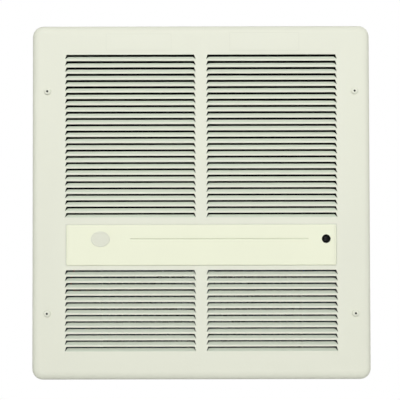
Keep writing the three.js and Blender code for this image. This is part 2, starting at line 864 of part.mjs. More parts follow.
// Coil wound round one pole arm
function statorCoil(side) {
  const inner = side * (statorBore + 2 * seatGap);
  const outer = side * (statorRadius - statorRingWidth - 4 * seatGap);
  const [x0, x1] = ordered(inner, outer);
  const halfWidth = statorPoleWidth / 2 + seatGap;
  const halfDepth = stackHalf + seatGap;
  const around = (grow, x0, x1) => block(x0, x1,
    motorMiddle - halfDepth - grow, motorMiddle + halfDepth + grow,
    fanHeight - halfWidth - grow, fanHeight + halfWidth + grow);
  const ringBore = barY(0, fanHeight, statorRadius - statorRingWidth - seatGap,
    motorMiddle - motorLength, motorMiddle + motorLength, fineSides);
  return around(coilThickness, x0, x1).subtract(around(0, x0 - overrun, x1 + overrun)).intersect(ringBore);
}

function rotor() {
  const [front, back] = [motorMiddle - stackHalf, motorMiddle + stackHalf];
  return ringY(0, fanHeight, shaftRadius + seatGap, rotorRadius, front, back, fineSides);
}

// Shaft from the rear bearing to past the blade's nut
const hubFront = bladeMiddle - hubLength / 2;
const hubBack = bladeMiddle + hubLength / 2;
const nutBack = hubFront - seatGap;
const nutFront = nutBack - shaftNutHeight;

function motorShaft() {
  return barY(0, fanHeight, shaftRadius, nutFront - seatGap, motorRear - motorSheet - 2 * seatGap);
}

// Fan blade: a hub with twisted-in paddles, all one pressing
function fanBlade() {
  let blade = barY(0, fanHeight, hubRadius, hubFront, hubBack);
  for (let i = 0; i < bladeCount; i += 1) {
    blade = blade.add(paddle().rotate(0, (i * 360) / bladeCount, 0).translate(0, bladeMiddle, fanHeight));
  }
  return blade.subtract(barY(0, fanHeight, shaftRadius + seatGap, hubFront - overrun, hubBack + overrun));
}

function paddle() {
  const root = hubRadius / 2;
  const half = bladeChord / 2;
  const shoulder = Math.sqrt(fanRadius * fanRadius - half * half);
  const shape = new THREE.Shape();
  shape.moveTo(-bladeRootChord / 4, root);
  shape.lineTo(bladeRootChord / 4, root);
  shape.lineTo(bladeRootChord / 2, fanRadius * bladeNeckShare);
  shape.lineTo(half, shoulder);
  const tipAngle = Math.atan2(shoulder, half);
  shape.absarc(0, 0, fanRadius, tipAngle, Math.PI - tipAngle, false);
  shape.lineTo(-bladeRootChord / 2, fanRadius * bladeNeckShare);
  const geometry = new THREE.ExtrudeGeometry(shape, {
    depth: bladeSheet,
    bevelEnabled: false,
    curveSegments: bladeTipSteps,
  });
  geometry.rotateX(Math.PI / 2);
  geometry.translate(0, bladeSheet / 2, 0);
  geometry.rotateZ(pitchAngle);
  return solid(geometry);
}

function bladeNut() {
  const bore = barY(0, fanHeight, shaftRadius + seatGap, nutFront - overrun, nutBack + overrun);
  return barY(0, fanHeight, shaftNutRadius, nutFront, nutBack, hexSides).subtract(bore);
}

// Element: one bent sheath with plate fins brazed to it
const bracketOuter = elementHalfWidth;
const bracketInner = bracketOuter - elementBracketSheet;
const finHalfSpan = bracketInner - finToBracket;
const passHeights = [elementHeight + finPassSpacing / 2, elementHeight - finPassSpacing / 2];
const bendCentreX = bracketOuter + bendOverhang;
const sheathEnd = -bracketOuter - sheathOverhang;

function heatingElement() {
  const bend = new THREE.Curve();
  bend.getPoint = (share, target = new THREE.Vector3()) => {
    const angle = Math.PI / 2 - share * Math.PI;
    const [across, up] = [Math.cos(angle), Math.sin(angle)].map((part) => (part * finPassSpacing) / 2);
    return target.set(bendCentreX + across, finMiddle, elementHeight + up);
  };
  let element = tube(bend, sheathRadius * bendRadiusShare, smallSides);
  const passEnd = bendCentreX + sheathRadius / 4;
  for (const z of passHeights) {
    element = element.add(barX(finMiddle, z, sheathRadius, sheathEnd, passEnd, tubeSides));
  }
  const steps = Math.floor(finHalfSpan / finPitch);
  for (let i = -steps; i <= steps; i += 1) {
    const x = i * finPitch;
    const [low, high] = [elementHeight - finHalfHeight, elementHeight + finHalfHeight];
    element = element.add(block(x - finSheet / 2, x + finSheet / 2, finFront, finBack, low, high));
  }
  return element;
}

// Baffle above the element, from the deck down to the cover
const baffleBendY = deckFront - baffleFlat;
const baffleEndY = flapBack + 2 * seatGap;
const baffleEndZ = Math.min(lowerBankTop, baffleTop);
const baffleUnder = (y) => {
  const share = Math.max(0, (y - baffleBendY) / (baffleEndY - baffleBendY));
  return baffleTop - baffleSheet + share * (baffleEndZ - baffleTop);
};

function outletBaffle() {
  const foot = deckFront - seatGap;
  const shape = outline([
    [foot, baffleTop + baffleFoot],
    [foot - baffleSheet, baffleTop + baffleFoot],
    [foot - baffleSheet, baffleTop],
    [baffleBendY, baffleTop],
    [baffleEndY, baffleEndZ],
    [baffleEndY, baffleEndZ - baffleSheet],
    [baffleBendY, baffleTop - baffleSheet],
    [foot, baffleTop - baffleSheet],
  ]);
  return plateX(shape, -bracketOuter, bracketOuter);
}

// Side plates that hold the element's passes
function elementBracket(side) {
  const back = deckFront - seatGap;
  const low = innerBottom + 2 * seatGap;
  const shape = outline([
    [back, low],
    [back, baffleUnder(back) - seatGap],
    [baffleBendY, baffleUnder(baffleBendY) - seatGap],
    [baffleEndY, baffleUnder(baffleEndY) - seatGap],
    [baffleEndY, low],
  ]);
  const [left, right] = ordered(side * bracketInner, side * bracketOuter);
  let plate = plateX(shape, left, right);
  const [footLeft, footRight] = ordered(side * bracketInner, side * (bracketOuter + elementBracketFoot));
  plate = plate.add(block(footLeft, footRight, back - elementBracketSheet, back, low, passHeights[0]));
  for (const z of passHeights) {
    const hole = barX(finMiddle, z, sheathRadius + seatGap, left - overrun, right + overrun, tubeSides);
    plate = plate.subtract(hole);
  }
  return plate;
}

// Ceramic end bead and its terminal pin on a sheath end
function elementInsulator(z) {
  const right = sheathEnd - seatGap;
  const left = right - insulatorLength;
  return barX(finMiddle, z, insulatorRadius, left, right, smallSides)
    .subtract(barX(finMiddle, z, pinRadius + seatGap, left - overrun, right + overrun, smallSides));
}

function elementPin(z) {
  const end = sheathEnd - seatGap;
  return barX(finMiddle, z, pinRadius, end - pinLength, end, smallSides);
}

// Control bracket: a hat section whose face carries thermostat and limit
const thermostatTop = shelfBottom - thermostatTopGap;
const thermostatBottom = thermostatTop - thermostatHeight;
const shaftTip = coverInside + shaftTipSetBack;
const thermostatBack = deckFront - wireRoom;
const thermostatFront = thermostatBack - thermostatDepth;
const bracketFaceBack = thermostatFront - seatGap;
const bracketFaceFront = bracketFaceBack - controlBracketSheet;
const limitZ = thermostatBottom - limitDrop - limitRadius;
const controlBottom = limitZ - limitRadius - 2 * seatGap;
const controlTop = shelfBottom - thermostatTopGap;

// Heights of the wires in the channel under the shelf, as shares of its height
const lineHeight = shelfBottom - lineHeightShare * wireChannelHeight;
const leadHeight = shelfBottom - leadHeightShare * wireChannelHeight;
const feedHeight = shelfBottom - feedHeightShare * wireChannelHeight;
const channelY = deckFront - wireRoom / 2;

function controlBracket() {
  const foot = deckFront - seatGap;
  const sheet = controlBracketSheet;
  const shape = outline([
    [controlLeft - controlBracketFoot / 2, foot],
    [controlLeft + sheet, foot],
    [controlLeft + sheet, bracketFaceBack],
    [controlRight - sheet, bracketFaceBack],
    [controlRight - sheet, foot],
    [controlRight, foot],
    [controlRight, bracketFaceFront],
    [controlLeft, bracketFaceFront],
    [controlLeft, foot - sheet],
    [controlLeft - controlBracketFoot / 2, foot - sheet],
  ]);
  let bracket = plateZ(shape, controlBottom, controlTop);
  const [front, back] = [bracketFaceFront - overrun, bracketFaceBack + overrun];
  const hole = (x, z, radius) => barY(x, z, radius, front, back, smallSides);
  bracket = bracket.subtract(hole(accessX, featureHeight, thermostatShaftRadius + spinGap));
  bracket = bracket.subtract(hole(accessX, limitZ, resetButtonRadius + spinGap));
  for (const z of [lineHeight, feedHeight]) {
    const [left, right] = [controlLeft - overrun / 2, controlLeft + overrun];
    bracket = bracket.subtract(barX(channelY, z, wireHoleRadius, left, right, smallSides));
  }
  return bracket;
}

function thermostatBody() {
  const body = block(accessX - thermostatWidth / 2, accessX + thermostatWidth / 2,
    thermostatFront, thermostatBack, thermostatBottom, thermostatTop);
  const boreEnd = shaftTip + thermostatShaftLength + spinGap;
  const boreRadius = thermostatShaftRadius + spinGap;
  return body.subtract(barY(accessX, featureHeight, boreRadius, thermostatFront - overrun, boreEnd));
}

// Shaft with a screwdriver slot in its tip
function thermostatShaft() {
  const end = shaftTip + thermostatShaftLength;
  const shaft = barY(accessX, featureHeight, thermostatShaftRadius, shaftTip, end);
  const slot = block(
    accessX - thermostatShaftRadius - overrun, accessX + thermostatShaftRadius + overrun,
    shaftTip - overrun, shaftTip + driverSlotDepth,
    featureHeight - driverSlotWidth / 2, featureHeight + driverSlotWidth / 2,
  );
  return shaft.subtract(slot);
}

// Limit switch behind the bracket face, with a bore for its button
function limitSwitch() {
  const body = barY(accessX, limitZ, limitRadius, thermostatFront, thermostatFront + limitDepth);
  const boreEnd = resetButtonRear + resetTravel + spinGap;
  const boreRadius = resetButtonRadius + spinGap;
  return body.subtract(barY(accessX, limitZ, boreRadius, thermostatFront - overrun, boreEnd));
}

const resetButtonFront = bracketFaceFront - resetButtonReach;
const resetButtonRear = resetButtonFront + resetButtonLength;

function resetButton() {
  return barY(accessX, limitZ, resetButtonRadius, resetButtonFront, resetButtonRear, plainSides);
}

// Delay switch on the outside of the right element bracket, under the control bracket
const delaySwitchX = bracketOuter + seatGap;
const delaySwitchY = (deckFront + finMiddle) / 2;
const delaySwitchZ = controlBottom - delaySwitchRoom - delaySwitchRadius;

function fanDelaySwitch() {
  const disc = barX(delaySwitchY, delaySwitchZ, delaySwitchRadius,
    delaySwitchX, delaySwitchX + delaySwitchLength / 2);
  const cap = barX(delaySwitchY, delaySwitchZ, (delaySwitchRadius * 3) / 4,
    delaySwitchX, delaySwitchX + delaySwitchLength);
  return disc.add(cap);
}

// Terminal block on the deck, with a well at each pole
const blockX = blockInset - innerHalfWidth;
const leadHoleOffset = -(blockX + terminalBlockWidth / 2) - leadHoleRoom;
const blockTop = shelfBottom - thermostatTopGap;
const blockBottom = blockTop - terminalBlockHeight;
const blockFront = deckFront - seatGap - terminalBlockDepth;
const groundScrewX = groundScrewInset - innerHalfWidth;
const groundScrewZ = shelfBottom - groundScrewDrop;

function groundScrew() {
  return smallScrewY(groundScrewX, groundScrewZ, deckFront - seatGap, deckSheet + 2 * overrun, -1);
}

function terminalBlock() {
  let body = block(blockX - terminalBlockWidth / 2, blockX + terminalBlockWidth / 2,
    blockFront, deckFront - seatGap, blockBottom, blockTop);
  const pitch = terminalBlockWidth / terminalPoles;
  for (let i = 0; i < terminalPoles; i += 1) {
    const x = blockX + (i - (terminalPoles - 1) / 2) * pitch;
    const z = (blockTop + blockBottom) / 2;
    body = body.subtract(block(x - terminalWellWidth / 2, x + terminalWellWidth / 2,
      blockFront - overrun, blockFront + terminalWellDepth,
      z - terminalWellWidth / 2, z + terminalWellWidth / 2));
  }
  return body;
}

// Capillary from the thermostat's top to the bulb that lies on the shelf
const bulbZ = shelfTop + seatGap + bulbRadius;
const bulbEnd = bulbOffset + bulbLength;

function thermostatCapillary() {
  const rise = shelfTop + 2 * bulbRadius;
  const bendX = capillaryX - 2 * bulbRadius;
  const route = [
    [capillaryX, capillaryY, thermostatTop + seatGap],
    [capillaryX, capillaryY, shelfTop],
    [capillaryX - capillaryRadius, capillaryY, rise],
    [bendX, capillaryY, rise + 2 * capillaryRadius],
    [(bendX + bulbEnd) / 2, capillaryY, rise],
    [bulbEnd + 2 * bulbRadius, capillaryY, bulbZ],
    [bulbEnd - bulbRadius, capillaryY, bulbZ],
  ];
  return tube(routeCurve(route), capillaryRadius, capillarySteps)
    .add(barX(capillaryY, bulbZ, bulbRadius, bulbOffset, bulbEnd, smallSides));
}

function bulbClip() {
  const half = bulbRadius + seatGap;
  const wall = half + bulbClipSheet;
  const foot = shelfTop + seatGap;
  const top = bulbZ + half;
  const right = [
    [half, top],
    [half, foot],
    [wall + bulbClipFoot, foot],
    [wall + bulbClipFoot, foot + bulbClipSheet],
    [wall, foot + bulbClipSheet],
    [wall, top + bulbClipSheet],
  ];
  const left = right.map(([y, z]) => [-y, z]).reverse();
  const shape = outline([...right, ...left].map(([y, z]) => [capillaryY + y, z]));
  const middle = bulbOffset + bulbLength / 2;
  return plateX(shape, middle - bulbClipWidth / 2, middle + bulbClipWidth / 2);
}

// Wires: each route is a list of points from one terminal to the other
const blockSide = blockX + terminalBlockWidth / 2;
const dropX = (bracketOuter + controlLeft) / 2;
const pinTip = sheathEnd - 2 * seatGap - pinLength;

function routeCurve(points) {
  const corners = points.map(([x, y, z]) => new THREE.Vector3(x, y, z));
  return new THREE.CatmullRomCurve3(corners, false, 'centripetal');
}

// A wire with a step about every three diameters
function wire(points) {
  const curve = routeCurve(points);
  const steps = Math.ceil(curve.getLength() / (6 * wireRadius));
  return tube(curve, wireRadius, steps);
}

function lineWire() {
  const end = accessX - wireBend / 2;
  return wire([
    [blockSide + seatGap, channelY, lineHeight],
    [blockSide + 2 * wireBend, channelY, lineHeight],
    [controlLeft, channelY, lineHeight],
    [end - 2 * wireBend, channelY, lineHeight],
    [end - wireBend / 2, channelY - wireBend / 10, lineHeight],
    [end, channelY - wireBend / 2, lineHeight],
    [end, thermostatBack + 2 * seatGap, lineHeight],
    [end, thermostatBack + seatGap, lineHeight],
  ]);
}

const limitBack = thermostatFront + limitDepth;

function limitWire() {
  const start = accessX - 2 * wireBend;
  const end = accessX - limitRadius / 2;
  return wire([
    [start, limitBack + wireBend, thermostatBottom - seatGap],
    [start, limitBack + wireBend, thermostatBottom - wireBend / 2],
    [start, limitBack + 2 * wireBend, limitZ + wireBend],
    [end - wireBend / 2, limitBack + 2 * wireBend, limitZ],
    [end, limitBack + wireBend, limitZ],
    [end, limitBack + seatGap, limitZ],
  ]);
}

function elementFeedWire() {
  const start = accessX + limitRadius / 2;
  const end = passHeights[0];
  return wire([
    [start, limitBack + seatGap, limitZ],
    [start, limitBack + wireBend, limitZ],
    [start - wireBend / 2, channelY - wireBend, limitZ + wireBend / 2],
    [accessX - wireBend / 2, channelY, limitZ + 2 * wireBend],
    [accessX - 3 * wireBend, channelY, feedHeight - wireBend],
    [controlLeft + wireBend, channelY, feedHeight],
    [controlLeft - wireBend, channelY, feedHeight],
    [0, channelY, feedHeight],
    [4 * wireBend - bracketOuter, channelY, feedHeight],
    [-bracketOuter - wireBend / 2, channelY - wireBend / 2, feedHeight - wireBend],
    [-bracketOuter - 4 * wireBend, channelY - 2 * wireBend, feedHeight - 4 * wireBend],
    [pinTip - wireBend, channelY - 3 * wireBend, feedHeight - 7 * wireBend],
    [pinTip - 3 * wireBend, finMiddle + wireBend / 2, end + 4 * wireBend],
    [pinTip - 3 * wireBend, finMiddle, end + 2 * wireBend],
    [pinTip - 2 * wireBend, finMiddle, end + wireBend / 4],
    [pinTip - wireBend, finMiddle, end],
    [pinTip, finMiddle, end],
  ]);
}

function elementReturnWire() {
  const start = passHeights[1];
  const end = blockX - terminalBlockWidth / 3;
  const outer = 2 * wireBend - innerHalfWidth;
  const y = deckFront - terminalBlockDepth / 2;
  return wire([
    [pinTip, finMiddle, start],
    [pinTip - 2 * wireBend, finMiddle, start],
    [outer + wireBend, finMiddle, start + wireBend],
    [outer, finMiddle + wireBend, start + 5 * wireBend],
    [outer, (finMiddle + y) / 2, elementHeight + 8 * wireBend],
    [outer, y - wireBend / 2, blockBottom - 6 * wireBend],
    [end - wireBend / 2, y, blockBottom - 2 * wireBend],
    [end, y, blockBottom - wireBend],
    [end, y, blockBottom - seatGap],
  ]);
}

// A lead from the motor's side through the deck, towards the left or right
function leadStart(side) {
  const start = fanHeight + motorRadius + seatGap;
  return [
    [side * wireBend, motorRear - 2 * wireBend, start],
    [side * wireBend, motorRear - 2 * wireBend, start + 2 * wireBend],
    [side * 4 * wireBend, motorRear - 3 * wireBend, start + 7 * wireBend],
    [(side * leadHoleOffset) / 2, motorRear - 5 * wireBend, leadHeight - wireBend],
    [side * (leadHoleOffset - wireBend), deckBack + 3 * wireBend, leadHeight],
    [side * leadHoleOffset, deckBack + wireBend, leadHeight],
    [side * leadHoleOffset, deckFront - wireRadius, leadHeight],
    [side * (leadHoleOffset + wireBend), channelY, leadHeight],
  ];
}

function motorLeadToBlock() {
  return wire([
    ...leadStart(-1),
    [blockSide + 2 * wireBend, channelY, leadHeight],
    [blockSide + seatGap, channelY, leadHeight],
  ]);
}

function motorLeadToDelay() {
  const rim = delaySwitchZ + delaySwitchRadius + seatGap;
  const end = delaySwitchX + delaySwitchLength / 4;
  return wire([
    ...leadStart(1),
    [dropX - 3 * wireBend, channelY - wireBend / 4, leadHeight],
    [dropX - wireBend / 2, channelY - wireBend, leadHeight - wireBend / 2],
    [dropX, delaySwitchY, feedHeight],
    [dropX, delaySwitchY, (feedHeight + rim) / 2],
    [end, delaySwitchY, rim + 2 * wireBend],
    [end, delaySwitchY, rim],
  ]);
}

// All pieces, by name and finish
add('back_box', backBox(), galvanised());
add('cover_rail_left', coverRail(-1), galvanised());
add('cover_rail_right', coverRail(1), galvanised());
add('front_cover', frontCover(), ivoryPaint());
add('control_panel', controlPanel(), creamPaint());
add('badge_disc', badgeDisc(), greyPaint());
add('label_film_left', labelFilm(leftFilmCentre, leftFilmWidth, leftFilmHeight), clearFilm());
add('label_film_right', labelFilm(rightFilmCentre, rightFilmWidth, rightFilmHeight), clearFilm());
coverScrewPlaces().forEach(([x, z], i) => {
  add(`cover_screw_${i + 1}`, coverScrew(x, z), ivoryPaint());
  add(`cover_clip_nut_${i + 1}`, clipNut(x, z), zincSteel());
});
add('fan_deck', fanDeck(), galvanised());
add('deck_screw_left', deckScrew(-1), zincSteel());
add('deck_screw_right', deckScrew(1), zincSteel());
add('motor_bracket', motorBracket(), galvanised());
[-1, 1].forEach((side, i) => {
  add(`bracket_screw_${i + 1}`, bracketScrew(side), zincSteel());
  add(`motor_screw_${i + 1}`, motorScrew(side), zincSteel());
  add(`stator_coil_${i + 1}`, statorCoil(side), copper());
});
add('motor_housing_rear', motorHousingRear(), steel());
add('motor_housing_front', motorHousingFront(), steel());
add('stator_core', statorCore(), laminations());
add('rotor', rotor(), laminations());
add('motor_shaft', motorShaft(), steel());
add('bearing_rear', bearingRear(), bronze());
add('bearing_front', bearingFront(), bronze());
add('fan_blade', fanBlade(), aluminium());
add('blade_nut', bladeNut(), zincSteel());
add('heating_element', heatingElement(), sheathSteel());
add('element_bracket_left', elementBracket(-1), galvanised());
add('element_bracket_right', elementBracket(1), galvanised());
add('outlet_baffle', outletBaffle(), galvanised());
passHeights.forEach((z, i) => {
  add(`element_insulator_${i + 1}`, elementInsulator(z), porcelain());
  add(`element_pin_${i + 1}`, elementPin(z), steel());
});
add('control_bracket', controlBracket(), galvanised());
add('thermostat_body', thermostatBody(), blackPlastic());
add('thermostat_shaft', thermostatShaft(), steel());
add('thermostat_capillary', thermostatCapillary(), copper());
add('bulb_clip', bulbClip(), zincSteel());
add('limit_switch', limitSwitch(), blackPlastic());
add('limit_reset_button', resetButton(), redPlastic());
add('fan_delay_switch', fanDelaySwitch(), blackPlastic());
add('terminal_block', terminalBlock(), blackPlastic());
add('ground_screw', groundScrew(), zincSteel());
add('line_wire', lineWire(), wireCover(0x1b1b1d));
add('limit_wire', limitWire(), wireCover(0x9c1f1b));
add('element_feed_wire', elementFeedWire(), wireCover(0x9c1f1b));
add('element_return_wire', elementReturnWire(), wireCover(0x1b1b1d));
add('motor_lead_left', motorLeadToBlock(), wireCover(0xd8d6cf));
add('motor_lead_right', motorLeadToDelay(), wireCover(0x22406f));

export default heater;
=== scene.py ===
# %% [markdown]
# A recessed wall heater, dressed around its CAD frame.
# The frame gives every sheet and screw its place in metres, with +Z up and the front towards -Y.
# This lesson keeps those places, replaces the pieces whose real edges are rounder than the CAD ones,
# and gives every piece a finish made of nodes.

# %% Load the frame
import json
import math

import bmesh
import bpy
from mathutils import Matrix, Vector


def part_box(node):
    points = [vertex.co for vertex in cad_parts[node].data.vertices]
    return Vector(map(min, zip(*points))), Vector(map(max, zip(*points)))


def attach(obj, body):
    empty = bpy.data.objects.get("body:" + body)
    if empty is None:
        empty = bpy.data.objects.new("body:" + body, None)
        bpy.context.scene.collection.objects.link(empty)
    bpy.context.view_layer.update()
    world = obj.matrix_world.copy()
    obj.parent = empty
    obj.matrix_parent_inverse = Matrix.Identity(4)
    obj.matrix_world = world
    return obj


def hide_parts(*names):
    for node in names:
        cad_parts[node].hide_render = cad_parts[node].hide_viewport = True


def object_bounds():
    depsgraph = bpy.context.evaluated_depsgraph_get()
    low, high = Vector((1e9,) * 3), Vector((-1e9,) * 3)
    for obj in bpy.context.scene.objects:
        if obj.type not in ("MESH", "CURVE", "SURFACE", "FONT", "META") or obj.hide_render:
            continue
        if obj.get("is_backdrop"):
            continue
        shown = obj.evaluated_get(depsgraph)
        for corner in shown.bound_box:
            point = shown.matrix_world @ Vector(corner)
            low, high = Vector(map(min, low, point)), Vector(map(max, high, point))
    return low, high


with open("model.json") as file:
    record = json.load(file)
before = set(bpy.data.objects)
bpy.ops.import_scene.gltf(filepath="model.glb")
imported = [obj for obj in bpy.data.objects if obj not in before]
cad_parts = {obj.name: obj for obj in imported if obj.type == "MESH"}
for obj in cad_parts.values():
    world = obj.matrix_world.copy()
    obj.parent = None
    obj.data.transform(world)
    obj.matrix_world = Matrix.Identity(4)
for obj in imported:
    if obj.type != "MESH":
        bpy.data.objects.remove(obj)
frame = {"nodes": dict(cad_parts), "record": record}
cad_box = [list(corner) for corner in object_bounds()]
MM = 0.001


def corners(node):
    """The lowest and the highest corner of a CAD piece, in metres."""
    return [Vector(corner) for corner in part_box(node)]


def middle_of(node):
    low, high = corners(node)
    return (low + high) / 2


print("pieces in the frame:", len(frame["nodes"]), "box:", cad_box)


# %% [markdown]
# The camera comes first, because every later choice is judged through it.
# The photograph was taken almost straight on from about one and a half metres. The cover is 339 pixels
# wide in a frame of 400, it leans a tenth of a degree to the left, and it is slightly wider at the bottom,
# which a camera held a little low and tipped up by about a degree gives.

# %% Camera
FRAME_PIXELS = 400
COVER_PIXELS = 338.8
COVER_CENTRE = (201.15, 202.0)
SENSOR = 36.0
DISTANCE = 1.4
TIP_UP = math.radians(1.3)
LEAN = math.radians(0.12)

cover_low, cover_high = corners("front_cover")
cover_front = cover_low.y
pixel = (cover_high.x - cover_low.x) / COVER_PIXELS


def new_object(name, data):
    """An object that is linked to the scene."""
    made = bpy.data.objects.new(name, data)
    bpy.context.scene.collection.objects.link(made)
    return made


def aim_camera():
    """A camera that looks along +Y at the point of the cover that lies in the middle of the frame."""
    across = (FRAME_PIXELS / 2 - COVER_CENTRE[0]) * pixel
    up = (COVER_CENTRE[1] - FRAME_PIXELS / 2) * pixel
    target = Vector((across, cover_front, up))
    data = bpy.data.cameras.new("camera")
    data.sensor_width = SENSOR
    data.lens = SENSOR * DISTANCE / (FRAME_PIXELS * pixel)
    camera = new_object("camera", data)
    turn = Matrix.Rotation(math.pi / 2 + TIP_UP, 4, "X") @ Matrix.Rotation(-LEAN, 4, "Z")
    camera.matrix_world = Matrix.Translation(target) @ turn @ Matrix.Translation((0, 0, DISTANCE))
    bpy.context.scene.camera = camera
    return camera


camera = aim_camera()
print("lens", round(camera.data.lens, 1), "mm, one pixel is", round(pixel / MM, 3), "mm on the cover")


# %% [markdown]
# Finishes are written as sums and products. A Term wraps one socket, and each operator on it adds a Math
# node, so that a line of Python reads like the pattern that it makes.

# %% Shader arithmetic
class Term:
    """A socket that ordinary arithmetic can be done with."""

    def __init__(self, tree, socket):
        self.tree = tree
        self.socket = socket

    def combine(self, operation, first, second):
        node = self.tree.nodes.new("ShaderNodeMath")
        node.operation = operation
        for socket, value in zip(node.inputs, (first, second)):
            if isinstance(value, Term):
                self.tree.links.new(value.socket, socket)
            else:
                socket.default_value = value
        return Term(self.tree, node.outputs[0])

    def __add__(self, other):
        return self.combine("ADD", self, other)

    def __radd__(self, other):
        return self.combine("ADD", other, self)

    def __sub__(self, other):
        return self.combine("SUBTRACT", self, other)

    def __rsub__(self, other):
        return self.combine("SUBTRACT", other, self)

    def __mul__(self, other):
        return self.combine("MULTIPLY", self, other)

    def __rmul__(self, other):
        return self.combine("MULTIPLY", other, self)

    def __pow__(self, other):
        return self.combine("POWER", self, other)

    def size(self):
        return self.combine("ABSOLUTE", self, 0.0)

    def below(self, other):
        return self.combine("LESS_THAN", self, other)

    def larger(self, other):
        return self.combine("MAXIMUM", self, other)

    def clamped(self):
        return self.combine("MINIMUM", self, 1.0).larger(0.0)


print("shader sums ready")


# %% [markdown]
# One class also holds a finish while it is made. It starts with the Principled shader, adds any node by
# its type, its settings and its inputs, and reads every pattern from Object coordinates, which are metres
# here, so a scale of 100 repeats about every centimetre. The Mix node has its own sockets for each kind of
# value under the same names, so they are told by number.

# %% Finish helper
FACTOR = 0
COLOUR_MIX = {"data_type": "RGBA"}
FIRST_COLOUR, SECOND_COLOUR, MIXED_COLOUR = 6, 7, 2
VECTOR_MIX = {"data_type": "VECTOR"}
FIRST_VECTOR, SECOND_VECTOR, MIXED_VECTOR = 4, 5, 1


class Finish:
    """A material under construction."""

    def __init__(self, name, **constants):
        self.material = bpy.data.materials.new(name)
        self.material.use_nodes = True
        self.tree = self.material.node_tree
        self.shader = self.tree.nodes["Principled BSDF"]
        self.feed(self.shader, {key.replace("_", " "): value for key, value in constants.items()})
        self.place = self.add("ShaderNodeTexCoord", output="Object")

    def feed(self, node, inputs):
        for key, value in inputs.items():
            if isinstance(value, Term):
                self.tree.links.new(value.socket, node.inputs[key])
            else:
                node.inputs[key].default_value = value

    def add(self, kind, settings=None, inputs=None, output=0):
        node = self.tree.nodes.new(kind)
        for key, value in (settings or {}).items():
            if key == "stops":
                self.set_stops(node.color_ramp, value)
            else:
                setattr(node, key, value)
        self.feed(node, inputs or {})
        return Term(self.tree, node.outputs[output])

    def set_stops(self, ramp, stops):
        while len(ramp.elements) < len(stops):
            ramp.elements.new(1.0)
        for element, (position, colour) in zip(ramp.elements, stops):
            element.position = position
            element.color = colour

    def stretched(self, scale):
        return self.add("ShaderNodeMapping", {}, {"Vector": self.place, "Scale": scale})

    def noise(self, scale, detail=2.0, vector=None):
        inputs = {"Vector": vector or self.place, "Scale": scale, "Detail": detail}
        return self.add("ShaderNodeTexNoise", {}, inputs, "Fac")

    def axes(self):
        parts = self.tree.nodes.new("ShaderNodeSeparateXYZ")
        self.feed(parts, {"Vector": self.place})
        return [Term(self.tree, socket) for socket in parts.outputs]

    def mix(self, factor, first, second):
        inputs = {FACTOR: factor, FIRST_COLOUR: first, SECOND_COLOUR: second}
        return self.add("ShaderNodeMix", COLOUR_MIX, inputs, MIXED_COLOUR)

    def mix_vectors(self, factor, first, second):
        inputs = {FACTOR: factor, FIRST_VECTOR: first, SECOND_VECTOR: second}
        return self.add("ShaderNodeMix", VECTOR_MIX, inputs, MIXED_VECTOR)

    def bump(self, height, depth):
        inputs = {"Height": height, "Distance": depth, "Strength": 1.0}
        normal = self.add("ShaderNodeBump", {}, inputs, "Normal")
        self.feed(self.shader, {"Normal": normal})

    def done(self, **varying):
        self.feed(self.shader, {key.replace("_", " "): value for key, value in varying.items()})
        return self.material


def tone(colour, factor=1.0):
    """The colour made lighter or darker, as RGBA."""
    return tuple(min(1.0, part * factor) for part in colour) + (1.0,)


print("finish helper ready")


# %% [markdown]
# The cover, its screws and the control plate are powder coated. Powder flows into a film that is never
# quite flat: close up it looks like orange peel, with dimples about two millimetres apart, and the tone
# drifts a little where the film is thicker. Two noises give the dimples and the grain, a slow one the
# drift, and a very fine one the flecks. The oval plate's grey coat and the control bracket's black one
# are made here. The cover's ivory and the plate's cream follow below, with their painted shade, and the
# blank films with their dust.

# %% Powder coats
WARM_GREY = (0.745, 0.760, 0.640)
BLACK = (0.014, 0.014, 0.015)
# tone of the dust and of the painted shade
DUST_AND_SHADE_TONE = (0.20, 0.21, 0.19)
AGED = (0.700, 0.787, 0.650)
DRIFT_SCALE = 7.0
DIMPLE_SCALE = 420.0
GRAIN_SCALE = 900.0
FLECK_SCALE = 2600.0
COAT_DARK = 0.965
COAT_LIGHT = 1.03
GRAIN_SHARE = 0.35
DRIFT_SHARE = 0.7
GRAIN_ROUGHNESS = 0.10
DRIFT_ROUGHNESS = 0.05
NOISE_MEAN = 0.5


def powder_coat(name, colour, roughness, peel, dust_and_shade=None, aged=None):
    """A satin powder coat with orange peel of a depth in metres; functions add age, dust and painted shade.
    """
    finish = Finish(name, IOR=1.45)
    drift = finish.noise(DRIFT_SCALE, detail=3.0)
    grain = finish.noise(GRAIN_SCALE, detail=3.0)
    dimples = finish.noise(DIMPLE_SCALE, detail=1.0)
    flecks = finish.noise(FLECK_SCALE, detail=1.0)
    finish.bump(dimples + GRAIN_SHARE * grain, peel)
    shade = drift * DRIFT_SHARE + flecks * (1 - DRIFT_SHARE)
    colours = finish.mix(shade, tone(colour, COAT_DARK), tone(colour, COAT_LIGHT))
    if aged:
        colours = finish.mix(aged(finish), colours, tone(AGED))
    if dust_and_shade:
        colours = finish.mix(dust_and_shade(finish), colours, tone(DUST_AND_SHADE_TONE))
    gloss = roughness + GRAIN_ROUGHNESS * (grain - NOISE_MEAN) + DRIFT_ROUGHNESS * (drift - NOISE_MEAN)
    return finish.done(Base_Color=colours, Roughness=gloss)


grey_coat = powder_coat("warm_grey_enamel", WARM_GREY, roughness=0.34, peel=0.03 * MM)
black_coat = powder_coat("black_powder_coat", BLACK, roughness=0.62, peel=0.04 * MM)
print("powder coats:", [material.name for material in (grey_coat, black_coat)])
